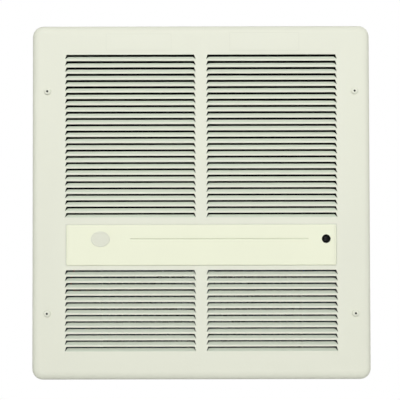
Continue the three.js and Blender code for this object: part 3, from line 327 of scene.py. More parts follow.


# %% [markdown]
# The box behind the cover is galvanised sheet. Its inside is made near black as painted shade, and the
# rings round its knockouts are drawn darker. Both follow from the box's own measures, so each place is
# written as a term that is one where it applies and none elsewhere.

# %% Places on the box
BOX_SHEET = 1.2 * MM
BOX_FLANGE = 17.4 * MM
KNOCKOUT_RADIUS = 10.5 * MM
KNOCKOUT_X = -183.8 * MM
KNOCKOUT_Z = 68.2 * MM
RING_REACH = 0.9 * MM
box_low, box_high = corners("back_box")
wall_middle = BOX_FLANGE + BOX_SHEET / 2
inner_half = Vector((box_high.x - wall_middle, -BOX_SHEET / 2, box_high.z - wall_middle))
box_half = Vector((box_high.x - BOX_FLANGE, 0, box_high.z - BOX_FLANGE))


def within(finish, half):
    """One inside a half width and half height and in front of a depth, and none elsewhere."""
    x, y, z = finish.axes()
    return x.size().below(half.x) * z.size().below(half.z) * y.below(half.y)


def ring(first, second, middle, radius):
    """One on a circle in the plane of two axes, falling to none at RING_REACH from it."""
    away = ((first - middle[0]) ** 2.0 + (second - middle[1]) ** 2.0) ** 0.5 - radius
    return (1.0 - away.size() * (1 / RING_REACH)).clamped()


def knockout_rings(finish):
    """The grooves round the box's knockouts, two in the back and one in each end."""
    x, y, z = finish.axes()
    back = ring(x, z.size(), (KNOCKOUT_X, KNOCKOUT_Z), KNOCKOUT_RADIUS)
    ends = ring(x, y, (KNOCKOUT_X, box_low.y / 2), KNOCKOUT_RADIUS)
    return back.larger(ends)


print("half width and height of the box in mm:", round(box_half.x / MM, 1), round(box_half.z / MM, 1))


# %% [markdown]
# Zinc freezes on the steel in crystals called spangle, each with its own tone. Voronoi cells are the
# crystals: each cell's random colour sets how light and how rough it is, and a stretched noise adds the
# faint lines of the rolling mill. The same recipe gives three finishes: bright zinc, zinc that the
# element's heat has dulled and that is darkened further as painted shade, and the box's own sheet with
# painted shade inside and darker rings round its knockouts.

# %% Galvanised sheet
ZINC_DARK = (0.27, 0.29, 0.31)
ZINC_LIGHT = (0.43, 0.45, 0.47)
# very dark tones: heat-dulled zinc, darkened further as painted shade inside the heater
SHADED_DULLED_DARK = (0.036, 0.042, 0.054)
SHADED_DULLED_LIGHT = (0.076, 0.085, 0.104)
# near-black tones of the painted shade inside the box
INNER_SHADE_DARK = (0.006, 0.006, 0.006)
INNER_SHADE_LIGHT = (0.014, 0.014, 0.015)
RING_DARKENING = 0.75
RING_TONE = 0.3
SPANGLE_SCALE = 120.0
SPANGLE_DEPTH = 0.03 * MM
WOBBLE_SCALE = 90.0
WOBBLE = 0.012
ROLLING_SCALE = 60.0
ROLLING_STRETCH = (1.0, 14.0, 14.0)
CLOUD_SCALE = 14.0
CRYSTAL_SHARE, ROLLING_SHARE, CLOUD_SHARE = 0.55, 0.2, 0.25
ZINC_METALLIC = 0.82
ZINC_ROUGHNESS = 0.3
CRYSTAL_ROUGHNESS = 0.22
CLOUD_ROUGHNESS = 0.1
INNER_ROUGHNESS = 0.5


def galvanised_sheet(name, dark, light, inside=None):
    """Zinc-coated steel, with near-black painted shade inside a box whose half sizes are given."""
    finish = Finish(name, IOR=1.6, Specular_IOR_Level=0.12)
    wobble = finish.add("ShaderNodeTexNoise", {}, {"Vector": finish.place, "Scale": WOBBLE_SCALE}, "Color")
    bent = finish.mix_vectors(WOBBLE, finish.place, wobble)
    cells = finish.add("ShaderNodeTexVoronoi", {}, {"Vector": bent, "Scale": SPANGLE_SCALE}, "Color")
    crystal = finish.add("ShaderNodeSeparateColor", {}, {"Color": cells}, "Red")
    rolling = finish.noise(ROLLING_SCALE, detail=3.0, vector=finish.stretched(ROLLING_STRETCH))
    cloud = finish.noise(CLOUD_SCALE, detail=3.0)
    shade = CRYSTAL_SHARE * crystal + ROLLING_SHARE * rolling + CLOUD_SHARE * cloud
    colours = finish.mix(shade, tone(dark), tone(light))
    finish.bump(crystal * 0.5 + rolling * 0.5, SPANGLE_DEPTH)
    bare = 1.0 if inside is None else 1.0 - within(finish, inside)
    if inside is not None:
        # the rings round the knockouts are drawn darker
        colours = finish.mix(knockout_rings(finish) * RING_DARKENING, colours, tone(DUST_AND_SHADE_TONE, RING_TONE))
        # painted shade: the box's inside is made near black
        coat = finish.mix(cloud, tone(INNER_SHADE_DARK), tone(INNER_SHADE_LIGHT))
        colours = finish.mix(bare, coat, colours)
    roughness = ZINC_ROUGHNESS + CRYSTAL_ROUGHNESS * crystal + CLOUD_ROUGHNESS * cloud
    roughness = roughness + INNER_ROUGHNESS * (1.0 - bare)
    return finish.done(Base_Color=colours, Roughness=roughness, Metallic=bare * ZINC_METALLIC)


galvanised = galvanised_sheet("galvanised_sheet", ZINC_DARK, ZINC_LIGHT)
# zinc next to the element, dulled by heat and darkened as painted shade
dulled_and_shaded_zinc = galvanised_sheet("galvanised_sheet_dulled_and_shaded", SHADED_DULLED_DARK, SHADED_DULLED_LIGHT)
box_with_painted_shade = galvanised_sheet("galvanised_box_with_painted_shade_inside", ZINC_DARK, ZINC_LIGHT, inner_half)
print("zinc finishes:", [material.name for material in (galvanised, dulled_and_shaded_zinc, box_with_painted_shade)])


# %% [markdown]
# The inner screws and nuts, the motor's shell, shaft, windings and bearings, the thermostat's shaft and
# capillary, the fan and the sockets of the cover screws are plain or plated metal; the sockets' steel is
# near black, as painted shade in the recess. One recipe serves them all: a cloudy tone, and fine
# scratches from a noise that is squeezed along one axis, which also change the gloss a little. The table
# gives each metal its name, its darkest and its lightest tone, how rough it is and, for the fan, coarser
# scratches.

# %% Plain and plated metals
METAL_CLOUD_SCALE = 120.0
SCRATCH_STRETCH = (1.0, 6.0, 1.0)
SCRATCH_DEPTH = 0.02 * MM
SCRATCH_ROUGHNESS = 0.2


def plated(name, dark, light, roughness, grain=500.0):
    """Plated or plain metal with fine scratches."""
    finish = Finish(name, Metallic=0.95)
    cloud = finish.noise(METAL_CLOUD_SCALE, detail=3.0)
    scratches = finish.noise(grain, detail=4.0, vector=finish.stretched(SCRATCH_STRETCH))
    finish.bump(scratches, SCRATCH_DEPTH)
    colours = finish.mix(0.5 * cloud + 0.5 * scratches, tone(dark), tone(light))
    gloss = roughness + SCRATCH_ROUGHNESS * (scratches - NOISE_MEAN)
    return finish.done(Base_Color=colours, Roughness=gloss)


METALS = {
    "zinc_plate": ("zinc_plate", (0.46, 0.45, 0.38), (0.66, 0.65, 0.58), 0.34),
    "motor_steel": ("motor_steel", (0.30, 0.31, 0.32), (0.46, 0.47, 0.48), 0.40),
    "dark_steel": ("black_oxide_steel", (0.010, 0.010, 0.011), (0.030, 0.030, 0.032), 0.5),
    "fan_aluminium": ("rolled_aluminium", (0.28, 0.29, 0.30), (0.42, 0.43, 0.44), 0.45, 260.0),
    # near-black steel: painted shade in the sockets of the cover screws
    "screw_socket": ("bare_steel_recess_with_painted_shade", (0.012, 0.012, 0.012), (0.03, 0.03, 0.028), 0.6),
    "copper_metal": ("copper_tube", (0.55, 0.26, 0.14), (0.80, 0.45, 0.28), 0.32),
    "bronze_metal": ("sintered_bronze", (0.36, 0.24, 0.12), (0.56, 0.40, 0.21), 0.45),
}
metals = {slot: plated(*recipe) for slot, recipe in METALS.items()}
print("metals:", [material.name for material in metals.values()])


# %% [markdown]
# Two finishes inside are unlike the others. Heat has coloured the element's steel from a warm grey to a
# blue one, which a colour ramp over a slow noise gives. The motor's stator and rotor are stacks of thin
# plates, which show as bands along its axis.

# %% Element and motor cores
HEAT_SCALE = 26.0
HEAT_SHARE = 0.8
SOOT_SCALE = 160.0
SOOT_DEPTH = 0.04 * MM
STACK_SCALE = 320.0
STACK_SHARE = 0.6
STACK_DEPTH = 0.1 * MM
RUST_SCALE = 90.0
HEATED_ROUGHNESS = 0.42
STACK_ROUGHNESS = 0.45
DIRT_ROUGHNESS = 0.2


def element_steel():
    """Steel that heat has coloured in patches from warm grey to blue-grey."""
    finish = Finish("heat_blued_steel", Metallic=0.75)
    heat = finish.noise(HEAT_SCALE, detail=4.0)
    soot = finish.noise(SOOT_SCALE, detail=3.0)
    bands = {"stops": [
        (0.30, tone((0.090, 0.085, 0.080))),
        (0.45, tone((0.075, 0.072, 0.085))),
        (0.58, tone((0.060, 0.075, 0.110))),
        (0.75, tone((0.105, 0.120, 0.150))),
    ]}
    amount = heat * HEAT_SHARE + soot * (1 - HEAT_SHARE)
    colours = finish.add("ShaderNodeValToRGB", bands, {"Fac": amount}, "Color")
    finish.bump(soot, SOOT_DEPTH)
    return finish.done(Base_Color=colours, Roughness=HEATED_ROUGHNESS + DIRT_ROUGHNESS * soot)


def laminations():
    """Thin steel plates stacked along Y."""
    finish = Finish("stacked_laminations", Metallic=0.8)
    settings = {"wave_type": "BANDS", "bands_direction": "Y"}
    inputs = {"Vector": finish.place, "Scale": STACK_SCALE}
    stack = finish.add("ShaderNodeTexWave", settings, inputs, "Fac")
    rust = finish.noise(RUST_SCALE, detail=4.0)
    shade = STACK_SHARE * stack + (1 - STACK_SHARE) * rust
    colours = finish.mix(shade, tone((0.13, 0.12, 0.12)), tone((0.30, 0.30, 0.31)))
    finish.bump(stack, STACK_DEPTH)
    return finish.done(Base_Color=colours, Roughness=STACK_ROUGHNESS + DIRT_ROUGHNESS * rust)


heated_steel = element_steel()
motor_stack = laminations()
print("element and cores:", [material.name for material in (heated_steel, motor_stack)])


# %% [markdown]
# The rest of the inside is moulded or fired: ceramic beads that heat has browned, black phenolic blocks,
# the red reset button and the wires' smooth covers. All have a fine even texture, so one recipe serves
# them, with the same kind of table.

# %% Mouldings and wire covers
MOULD_CLOUD_SCALE = 60.0
MOULD_CLOUD_SHARE = 0.6
MOULD_DEPTH = 0.03 * MM
MOULD_ROUGHNESS = 0.15


def moulding(name, dark, light, roughness, grain=700.0):
    """A moulded plastic or ceramic surface with a fine even texture."""
    finish = Finish(name, IOR=1.5)
    cloud = finish.noise(MOULD_CLOUD_SCALE, detail=2.0)
    texture = finish.noise(grain, detail=3.0)
    finish.bump(texture, MOULD_DEPTH)
    shade = MOULD_CLOUD_SHARE * cloud + (1 - MOULD_CLOUD_SHARE) * texture
    colours = finish.mix(shade, tone(dark), tone(light))
    gloss = roughness + MOULD_ROUGHNESS * (texture - NOISE_MEAN)
    return finish.done(Base_Color=colours, Roughness=gloss)


MOULDINGS = {
    "porcelain": ("heat_browned_porcelain", (0.13, 0.11, 0.085), (0.22, 0.19, 0.155), 0.28, 200.0),
    "black_plastic": ("black_phenolic", (0.012, 0.012, 0.014), (0.030, 0.030, 0.032), 0.42),
    "red_plastic": ("red_moulding", (0.38, 0.012, 0.010), (0.50, 0.030, 0.022), 0.30),
    "wire_black": ("black_wire_cover", (0.012, 0.012, 0.013), (0.028, 0.028, 0.030), 0.40),
    "wire_red": ("red_wire_cover", (0.13, 0.008, 0.007), (0.21, 0.016, 0.012), 0.50),
    "wire_white": ("white_wire_cover", (0.60, 0.59, 0.54), (0.74, 0.73, 0.69), 0.42),
    "wire_blue": ("blue_wire_cover", (0.012, 0.040, 0.200), (0.025, 0.070, 0.300), 0.40),
}
mouldings = {slot: moulding(*recipe) for slot, recipe in MOULDINGS.items()}
print("mouldings:", [material.name for material in mouldings.values()])


# %% [markdown]
# A new piece is finished the same way each time: its faces are pointed outwards, its mesh is stored in
# metres with the object left at the origin, sharp edges are marked where faces meet at a clear angle, and
# the piece is told which body it rides on, while the CAD nodes that it replaces are hidden.

# %% Piece helper
SMOOTH_ANGLE = math.radians(34)
HAIR = 0.01 * MM
WELD = 0.001 * MM


def finish_piece(name, mesh, material, body="housing", replaced=(), angle=SMOOTH_ANGLE, second=None):
    """Turns a bmesh into an object that rides on a body and takes the place of CAD nodes."""
    data = bpy.data.meshes.new(name)
    mesh.to_mesh(data)
    mesh.free()
    data.shade_smooth()
    data.set_sharp_from_angle(angle=angle)
    data.materials.append(material)
    if second:
        data.materials.append(second)
    piece = new_object(name, data)
    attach(piece, body)
    if replaced:
        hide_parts(*replaced)
    return piece


def new_items(result, kind):
    """The corners, edges or faces that an operator made."""
    return [item for item in result["geom"] if isinstance(item, kind)]


def point_outwards(mesh):
    """Merges doubles, then turns all faces outwards."""
    bmesh.ops.remove_doubles(mesh, verts=mesh.verts[:], dist=WELD)
    bmesh.ops.recalc_face_normals(mesh, faces=mesh.faces[:])


print("piece helper ready")


# %% [markdown]
# The cover starts as one rounded rectangle. Its side wall is extruded forwards, and the roll at the front
# edge is a row of insets, each a little further in and a little further forward, so that together they
# draw a quarter of an oval. A last narrow inset keeps the flat front flat, because smooth shading would
# otherwise spread the roll's shade over the whole margin. The control plate and the oval plate are raised
# the same way further on, so these steps are functions.

# %% Cover shell
COVER_SHEET = 1.5 * MM
CORNER_RADIUS = 16.0 * MM
ROLL_WIDTH = 12.5 * MM
ROLL_HEIGHT = 8.0 * MM
ROLL_STEPS = 14
CORNER_STEPS = 8
FLAT_RING = 0.8 * MM


def rounded_plate(mesh, low, high, y, radius, steps):
    """A rounded rectangle in the XZ plane that faces -Y, from a square with bevelled corners."""
    bmesh.ops.create_grid(mesh, x_segments=1, y_segments=1, size=0.5)
    size = high - low
    middle = (low + high) / 2
    stand = Matrix.Rotation(math.pi / 2, 4, "X")
    scale = Matrix.Diagonal((size.x, 1.0, size.z, 1.0))
    shift = Matrix.Translation((middle.x, y, middle.z))
    bmesh.ops.transform(mesh, verts=mesh.verts[:], matrix=shift @ scale @ stand)
    bmesh.ops.bevel(
        mesh, geom=mesh.verts[:], offset=radius, offset_type="OFFSET", segments=steps,
        profile=0.5, affect="VERTICES", material=-1,
    )
    mesh.faces.ensure_lookup_table()
    return mesh.faces[0]


def inset(mesh, face, thickness, depth=0.0):
    """Insets one face by a thickness and moves it outwards by a depth."""
    bmesh.ops.inset_region(
        mesh, faces=[face], thickness=thickness, depth=depth, use_boundary=True, use_even_offset=True,
    )


def roll_forwards(mesh, face, width, height, steps):
    """Insets a face along a quarter of an oval, from a wall that runs along Y to a flat front."""
    for step in range(steps):
        start = math.pi / 2 * step / steps
        end = math.pi / 2 * (step + 1) / steps
        inwards = width * (math.cos(start) - math.cos(end))
        forwards = height * (math.sin(end) - math.sin(start))
        inset(mesh, face, inwards, forwards)
    inset(mesh, face, FLAT_RING)


def raise_face(mesh, face, distance, keep_back):
    """Extrudes a face by a distance along Y and returns the face at the far end."""
    wall = bmesh.ops.extrude_face_region(mesh, geom=[face], use_keep_orig=keep_back)
    front = new_items(wall, bmesh.types.BMFace)[0]
    bmesh.ops.translate(mesh, verts=front.verts[:], vec=(0, distance, 0))
    return front


def cover_shell():
    mesh = bmesh.new()
    face = rounded_plate(mesh, cover_low, cover_high, cover_high.y, CORNER_RADIUS, CORNER_STEPS)
    front = raise_face(mesh, face, cover_front + ROLL_HEIGHT - cover_high.y, keep_back=False)
    back = [face for face in mesh.faces if all(abs(vert.co.y - cover_high.y) < HAIR for vert in face.verts)]
    bmesh.ops.delete(mesh, geom=back, context="FACES_ONLY")
    roll_forwards(mesh, front, ROLL_WIDTH, ROLL_HEIGHT, ROLL_STEPS)
    return mesh


def front_of(mesh):
    """Where the front of a mesh lies, in millimetres."""
    return round(min(vert.co.y for vert in mesh.verts) / MM, 2)


cover = cover_shell()
print("cover shell:", len(cover.faces), "faces, front at", front_of(cover), "mm")


# %% [markdown]
# Slots, holes and the groove all start as a rectangle in a flat face. The operator that cuts with a plane
# does this exactly: four cuts part the rectangle from the face that holds it, and nothing else is touched.

# %% Cutting helpers
across = Vector((1, 0, 0))
upward = Vector((0, 0, 1))


def with_edges(faces):
    """The faces with their edges and corners, as the cutting operators want them."""
    edges = {edge for face in faces for edge in face.edges}
    verts = {vert for face in faces for vert in face.verts}
    return list(faces) + list(edges) + list(verts)


def slice_faces(mesh, faces, place, direction):
    """Cuts the faces with a plane and returns all the faces that they became."""
    cut = bmesh.ops.bisect_plane(
        mesh, geom=with_edges(faces), plane_co=place, plane_no=direction, dist=HAIR / 10,
    )
    return new_items(cut, bmesh.types.BMFace)


def span(face):
    """Lowest and highest corner of one face."""
    low = Vector([min(vert.co[i] for vert in face.verts) for i in range(3)])
    high = Vector([max(vert.co[i] for vert in face.verts) for i in range(3)])
    return low, high


def holds(face, x, y, z):
    """Whether a point lies inside a face that is flat at depth y."""
    low, high = span(face)
    flat = abs(low.y - y) < HAIR and abs(high.y - y) < HAIR
    return flat and low.x < x < high.x and low.z < z < high.z


def carve_cell(mesh, y, low, high):
    """Cuts a rectangle out of the flat face at depth y, and returns it as a face of its own."""
    x, z = (low[0] + high[0]) / 2, (low[1] + high[1]) / 2
    for place, direction in (
        (Vector((low[0], y, z)), across),
        (Vector((high[0], y, z)), across),
        (Vector((x, y, low[1])), upward),
        (Vector((x, y, high[1])), upward),
    ):
        face = next(face for face in mesh.faces if holds(face, x, y, z))
        slice_faces(mesh, [face], place, direction)
    return next(face for face in mesh.faces if holds(face, x, y, z))


print("cutting helpers ready")


# %% [markdown]
# Each louvre is lanced on three sides and folded inwards about its foot, so the sheet itself becomes the
# flap. The banks are cut out of the flat front as cells, and planes cut each cell into rows. A row's
# opening is deleted, its upper corners are drawn in, and its lower edge is then extruded along the fold's
# arc and on up the flap, getting narrower as it goes, as the slanted ends of the real flaps do.

# %% Louvres
LOUVRE_PITCH = 9.525 * MM
SLOT_HEIGHT = 6.8 * MM
TOP_MARGIN = 43.925 * MM
SIDE_MARGIN = 49.3 * MM
BANK_GAP = 15.3 * MM
UPPER_ROWS = range(0, 26)
LOWER_ROWS = range(34, 47)
FLAP_TILT = math.radians(52)
FOLD_RADIUS = 0.8 * MM
FOLD_STEPS = 4
SLOT_SLOPE = 2.55 * MM
FLAP_SLOPE = 4.1 * MM
FLAP_LENGTH = SLOT_HEIGHT
FOLD_DROP = FOLD_RADIUS * math.sin(FLAP_TILT)


def row_top(row):
    return cover_high.z - TOP_MARGIN - row * LOUVRE_PITCH


def slot_foot(row):
    return row_top(row) - SLOT_HEIGHT - FOLD_DROP


def open_bank(mesh, left, right, rows):
    """Opens one bank's slots and returns the edges that its flaps grow from."""
    cell = carve_cell(mesh, cover_front, (left, slot_foot(rows[-1])), (right, row_top(rows[0])))
    faces = [cell]
    for row in rows:
        for height in (row_top(row), slot_foot(row)):
            faces = slice_faces(mesh, faces, Vector((0, cover_front, height)), upward)
    slots = [face for face in faces if is_slot(face, rows)]
    tops, feet = [], []
    for slot in slots:
        low, high = span(slot)
        tops += [vert for vert in slot.verts if abs(vert.co.z - high.z) < HAIR]
        feet += [edge for edge in slot.edges if all(abs(vert.co.z - low.z) < HAIR for vert in edge.verts)]
    bmesh.ops.delete(mesh, geom=slots, context="FACES")
    draw_in(mesh, tops, (left + right) / 2, SLOT_SLOPE)
    return feet


def is_slot(face, rows):
    height = face.calc_center_median().z
    return any(slot_foot(row) < height < row_top(row) for row in rows)


def draw_in(mesh, verts, middle, distance):
    """Moves corners sideways towards the middle of their bank."""
    left = [vert for vert in verts if vert.co.x < middle]
    right = [vert for vert in verts if vert.co.x > middle]
    bmesh.ops.translate(mesh, verts=left, vec=(distance, 0, 0))
    bmesh.ops.translate(mesh, verts=right, vec=(-distance, 0, 0))


def grow_flaps(mesh, edges, middle):
    """Extrudes the slots' lower edges round the fold and along the flaps."""
    path = FOLD_RADIUS * FLAP_TILT + FLAP_LENGTH
    moves = []
    for step in range(FOLD_STEPS):
        start = FLAP_TILT * step / FOLD_STEPS
        end = FLAP_TILT * (step + 1) / FOLD_STEPS
        inwards = FOLD_RADIUS * (math.cos(start) - math.cos(end))
        upwards = FOLD_RADIUS * (math.sin(end) - math.sin(start))
        moves.append((inwards, upwards, FOLD_RADIUS * FLAP_TILT / FOLD_STEPS))
    moves.append((FLAP_LENGTH * math.sin(FLAP_TILT), FLAP_LENGTH * math.cos(FLAP_TILT), FLAP_LENGTH))
    for inwards, upwards, length in moves:
        grown = bmesh.ops.extrude_edge_only(mesh, edges=edges)
        verts = new_items(grown, bmesh.types.BMVert)
        made = new_items(grown, bmesh.types.BMEdge)
        edges = [edge for edge in made if all(vert in verts for vert in edge.verts)]
        bmesh.ops.translate(mesh, verts=verts, vec=(0, inwards, upwards))
        draw_in(mesh, verts, middle, FLAP_SLOPE * length / path)


def press_louvres(mesh):
    for side in (-1, 1):
        inner = side * BANK_GAP / 2
        outer = side * (cover_high.x - SIDE_MARGIN)
        left, right = min(inner, outer), max(inner, outer)
        for rows in (UPPER_ROWS, LOWER_ROWS):
            feet = open_bank(mesh, left, right, rows)
            grow_flaps(mesh, feet, (left + right) / 2)


press_louvres(cover)
print("louvres pressed:", len(cover.faces), "faces")


# %% [markdown]
# The flaps lie back behind the front plane, and their colour is darkened there as painted shade, more on
# the lower flaps, in soft patches, and their coat has aged to a slightly greener tone. Both begin at the
# front plane and are full a little behind it, so a point's depth tells how much of them it has.

# %% Painted shade and age on the flaps
# strengths of the painted shade on the upper and on the lower flaps
UPPER_FLAP_SHADE = 0.02
LOWER_FLAP_SHADE = 0.19
SHADE_AND_AGE_DEPTH = 0.45 * MM
FLAP_AGE = 0.6
PATCH_SCALE = 22.0
PATCH_LEAST = 0.8
PATCH_RANGE = 0.4
plate_low, plate_high = corners("control_panel")


def on_flaps(finish):
    """Grows from none at the front plane to all at SHADE_AND_AGE_DEPTH behind it, between the cover's margins."""
    x, y, z = finish.axes()
    depth = ((y - cover_front) * (1 / SHADE_AND_AGE_DEPTH)).clamped()
    in_width = x.size().below(cover_high.x - SIDE_MARGIN + HAIR)
    in_height = z.size().below(cover_high.z - TOP_MARGIN + COVER_SHEET)
    return depth * in_width * in_height


def flap_age(finish):
    """How far the flaps' coat has turned to its aged tone."""
    return on_flaps(finish) * FLAP_AGE


def flap_painted_shade(finish):
    """Painted shade, more on the lower flaps than on the upper ones, in soft patches."""
    x, y, z = finish.axes()
    amount = UPPER_FLAP_SHADE + z.below(plate_low.z) * (LOWER_FLAP_SHADE - UPPER_FLAP_SHADE)
    patches = PATCH_LEAST + PATCH_RANGE * finish.noise(PATCH_SCALE, detail=3.0)
    return on_flaps(finish) * amount * patches


# prints the strengths of the painted shade on the upper and on the lower flaps
print("dust on the upper and on the lower flaps:", UPPER_FLAP_SHADE, LOWER_FLAP_SHADE)


# %% [markdown]
# Painted shade darkens the joint round the control plate and the plate's long groove, and dust lies along
# the edges of the two films. Each of these is a distance from a rectangle, turned into a number between
# none and all. The cut wall of the access hole is darkened as painted shade.

# %% Painted shade in the joint and the hole, dust on the film edges
JOINT_REACH = 1.7 * MM
# strength of the painted shade in the joint round the plate
JOINT_SHADE = 0.24
LOWER_JOINT_LOSS = 0.8
FILM_REACH = 1.0 * MM
FILM_DUST = 0.10
# painted shade on the wall of the access hole
RIM_REACH = 0.15 * MM
RIM_SHADE = 0.93
ACCESS_RADIUS = 6.5 * MM
access = middle_of("thermostat_shaft")


def outside_of(finish, low, high):
    """Distance outside a rectangle in the XZ plane, which is negative inside it."""
    x, y, z = finish.axes()
    middle, half = (low + high) / 2, (high - low) / 2
    return ((x - middle.x).size() - half.x).larger((z - middle.z).size() - half.z)


def joint_painted_shade(finish):
    """Painted shade, most at the outline of the control plate, none at JOINT_REACH from it, and little at
    its foot.
    """
    distance = outside_of(finish, plate_low, plate_high).size()
    x, y, z = finish.axes()
    share = 1.0 - LOWER_JOINT_LOSS * z.below(plate_low.z + JOINT_REACH)
    return (1.0 - distance * (1 / JOINT_REACH)).clamped() * JOINT_SHADE * share


def film_dust(finish):
    """A fine line along the edges of the two films."""
    amount = 0.0
    for node in ("label_film_left", "label_film_right"):
        distance = outside_of(finish, *corners(node)).size()
        line = (1.0 - distance * (1 / FILM_REACH)).clamped()
        amount = line.larger(amount)
    return amount * FILM_DUST


def rim_painted_shade(finish):
    """Painted shade wherever a point lies on the wall of the access hole."""
    x, y, z = finish.axes()
    distance = ((x - access.x) ** 2.0 + (z - access.z) ** 2.0) ** 0.5
    return distance.below(ACCESS_RADIUS + RIM_REACH) * RIM_SHADE


print("access hole at", round(access.x / MM, 1), round(access.z / MM, 1), "mm")


# %% [markdown]
# Where two of these marks meet, the stronger one hides the other, so a coat takes the most of what its
# places hold. With that, the cover's ivory with its painted shade, the blank films with their dust and
# the plate's cream with its painted shade can be made.

# %% Coats with dust and painted shade
IVORY = (0.772, 0.787, 0.668)
CREAM = (0.855, 0.880, 0.690)
GROOVE_LEFT = -106.8 * MM
GROOVE_RIGHT = 160.4 * MM
GROOVE_HALF = 1.2 * MM
GROOVE_SLOPE = 0.8 * MM
# strength of the painted shade in the groove
GROOVE_SHADE = 0.24


def cover_painted_shade(finish):
    """The most of the painted shade in the joint, on the flaps and on the hole's wall."""
    return joint_painted_shade(finish).larger(flap_painted_shade(finish)).larger(rim_painted_shade(finish))


def plate_painted_shade(finish):
    """The most of the painted shade in the joint, in the groove and on the hole's wall."""
    low = Vector((GROOVE_LEFT, 0, access.z - GROOVE_HALF))
    high = Vector((GROOVE_RIGHT, 0, access.z + GROOVE_HALF))
    # painted shade in the plate's groove
    groove = (outside_of(finish, low, high) * (-1 / GROOVE_SLOPE)).clamped()
    return joint_painted_shade(finish).larger(groove * GROOVE_SHADE).larger(rim_painted_shade(finish))


# the cover's coat carries painted shade in the joint, on the flaps and on the hole's wall
ivory_coat = powder_coat("ivory_powder_coat", IVORY, 0.54, 0.07 * MM, cover_painted_shade, flap_age)
film_coat = powder_coat("blank_film", IVORY, 0.50, 0.06 * MM, film_dust)
# the plate's coat carries painted shade in the joint, in the groove and on the hole's wall
cream_coat = powder_coat("cream_powder_coat", CREAM, 0.48, 0.04 * MM, plate_painted_shade)
print("dusty coats:", [material.name for material in (ivory_coat, film_coat, cream_coat)])


# %% [markdown]
# Round holes take the place of a small square cell: the cell is deleted, a circle is laid in the same
# plane, and the two loops are bridged. The cover has five such holes, one for each screw and one for the
# screwdriver that turns the thermostat.

# %% Holes
HOLE_STEPS = 32
CELL_REACH_SHARE = 1.5
SCREW_HOLE = 2.5 * MM
SCREWS = ["cover_screw_1", "cover_screw_2", "cover_screw_3", "cover_screw_4"]


def circle_at(mesh, place, radius, segments):
    """The edges of a new circle in the XZ plane."""
    stand = Matrix.Translation(place) @ Matrix.Rotation(math.pi / 2, 4, "X")
    made = bmesh.ops.create_circle(mesh, cap_ends=False, radius=radius, segments=segments, matrix=stand)
    return list({edge for vert in made["verts"] for edge in vert.link_edges})


def pierce(mesh, y, x, z, radius):
    """Opens a round hole in the flat face at depth y and returns the edges of its rim."""
    reach = CELL_REACH_SHARE * radius
    cell = carve_cell(mesh, y, (x - reach, z - reach), (x + reach, z + reach))
    square = cell.edges[:]
    bmesh.ops.delete(mesh, geom=[cell], context="FACES_ONLY")
    rim = circle_at(mesh, (x, y, z), radius, HOLE_STEPS)
    bmesh.ops.bridge_loops(mesh, edges=square + rim)
    return rim


for name in SCREWS:
    place = middle_of(name)
    pierce(cover, cover_front, place.x, place.z, SCREW_HOLE)
pierce(cover, cover_front, access.x, access.z, ACCESS_RADIUS)
point_outwards(cover)
thin_front = front_of(cover)
bmesh.ops.solidify(cover, geom=cover.faces[:], thickness=COVER_SHEET)
print("cover front with no thickness and with it, mm:", thin_front, front_of(cover))
cover_piece = finish_piece("cover", cover, ivory_coat, replaced=["front_cover"])
print("cover:", len(cover_piece.data.polygons), "faces")


# %% [markdown]
# The control plate is a thin cream plate with softly rounded front edges. It lies on the cover between the
# banks. A long groove runs along its middle, and a round hole at its right end lets a screwdriver reach
# the thermostat. The hole goes through, so its front rim and its back rim are bridged.

# %% Control plate
PLATE_CORNER = 3.0 * MM
PLATE_ROLL = 1.2 * MM
PLATE_ROLL_WIDTH = 2.4 * MM
PLATE_ROLL_STEPS = 6
GROOVE_DEPTH = 0.9 * MM


def control_plate():
    mesh = bmesh.new()
    face = rounded_plate(mesh, plate_low, plate_high, plate_high.y, PLATE_CORNER, CORNER_STEPS)
    front = raise_face(mesh, face, plate_low.y + PLATE_ROLL - plate_high.y, keep_back=True)
    roll_forwards(mesh, front, PLATE_ROLL_WIDTH, PLATE_ROLL, PLATE_ROLL_STEPS)
    front_rim = pierce(mesh, plate_low.y, access.x, access.z, ACCESS_RADIUS)
    back_rim = pierce(mesh, plate_high.y, access.x, access.z, ACCESS_RADIUS)
    bmesh.ops.bridge_loops(mesh, edges=front_rim + back_rim)
    groove_low = (GROOVE_LEFT, access.z - GROOVE_HALF)
    groove_high = (GROOVE_RIGHT, access.z + GROOVE_HALF)
    groove = carve_cell(mesh, plate_low.y, groove_low, groove_high)
    inset(mesh, groove, GROOVE_SLOPE, -GROOVE_DEPTH)
    point_outwards(mesh)
    return finish_piece("control_plate", mesh, cream_coat, replaced=["control_panel"])


plate = control_plate()
print("control plate:", len(plate.data.polygons), "faces")


# %% [markdown]
# The oval plate at the left end of the control plate has a low rim round a slightly sunk field, which is
# bare. A circle squashed to an oval is raised, its edge is rounded by insets, and two more insets make
# the rim and the field, the second of them going back in.

# %% Oval plate
OVAL_STEPS = 64
OVAL_ROLL = 0.3 * MM
OVAL_RIM = 0.9 * MM
OVAL_SINK = 0.25 * MM
oval_low, oval_high = corners("badge_disc")


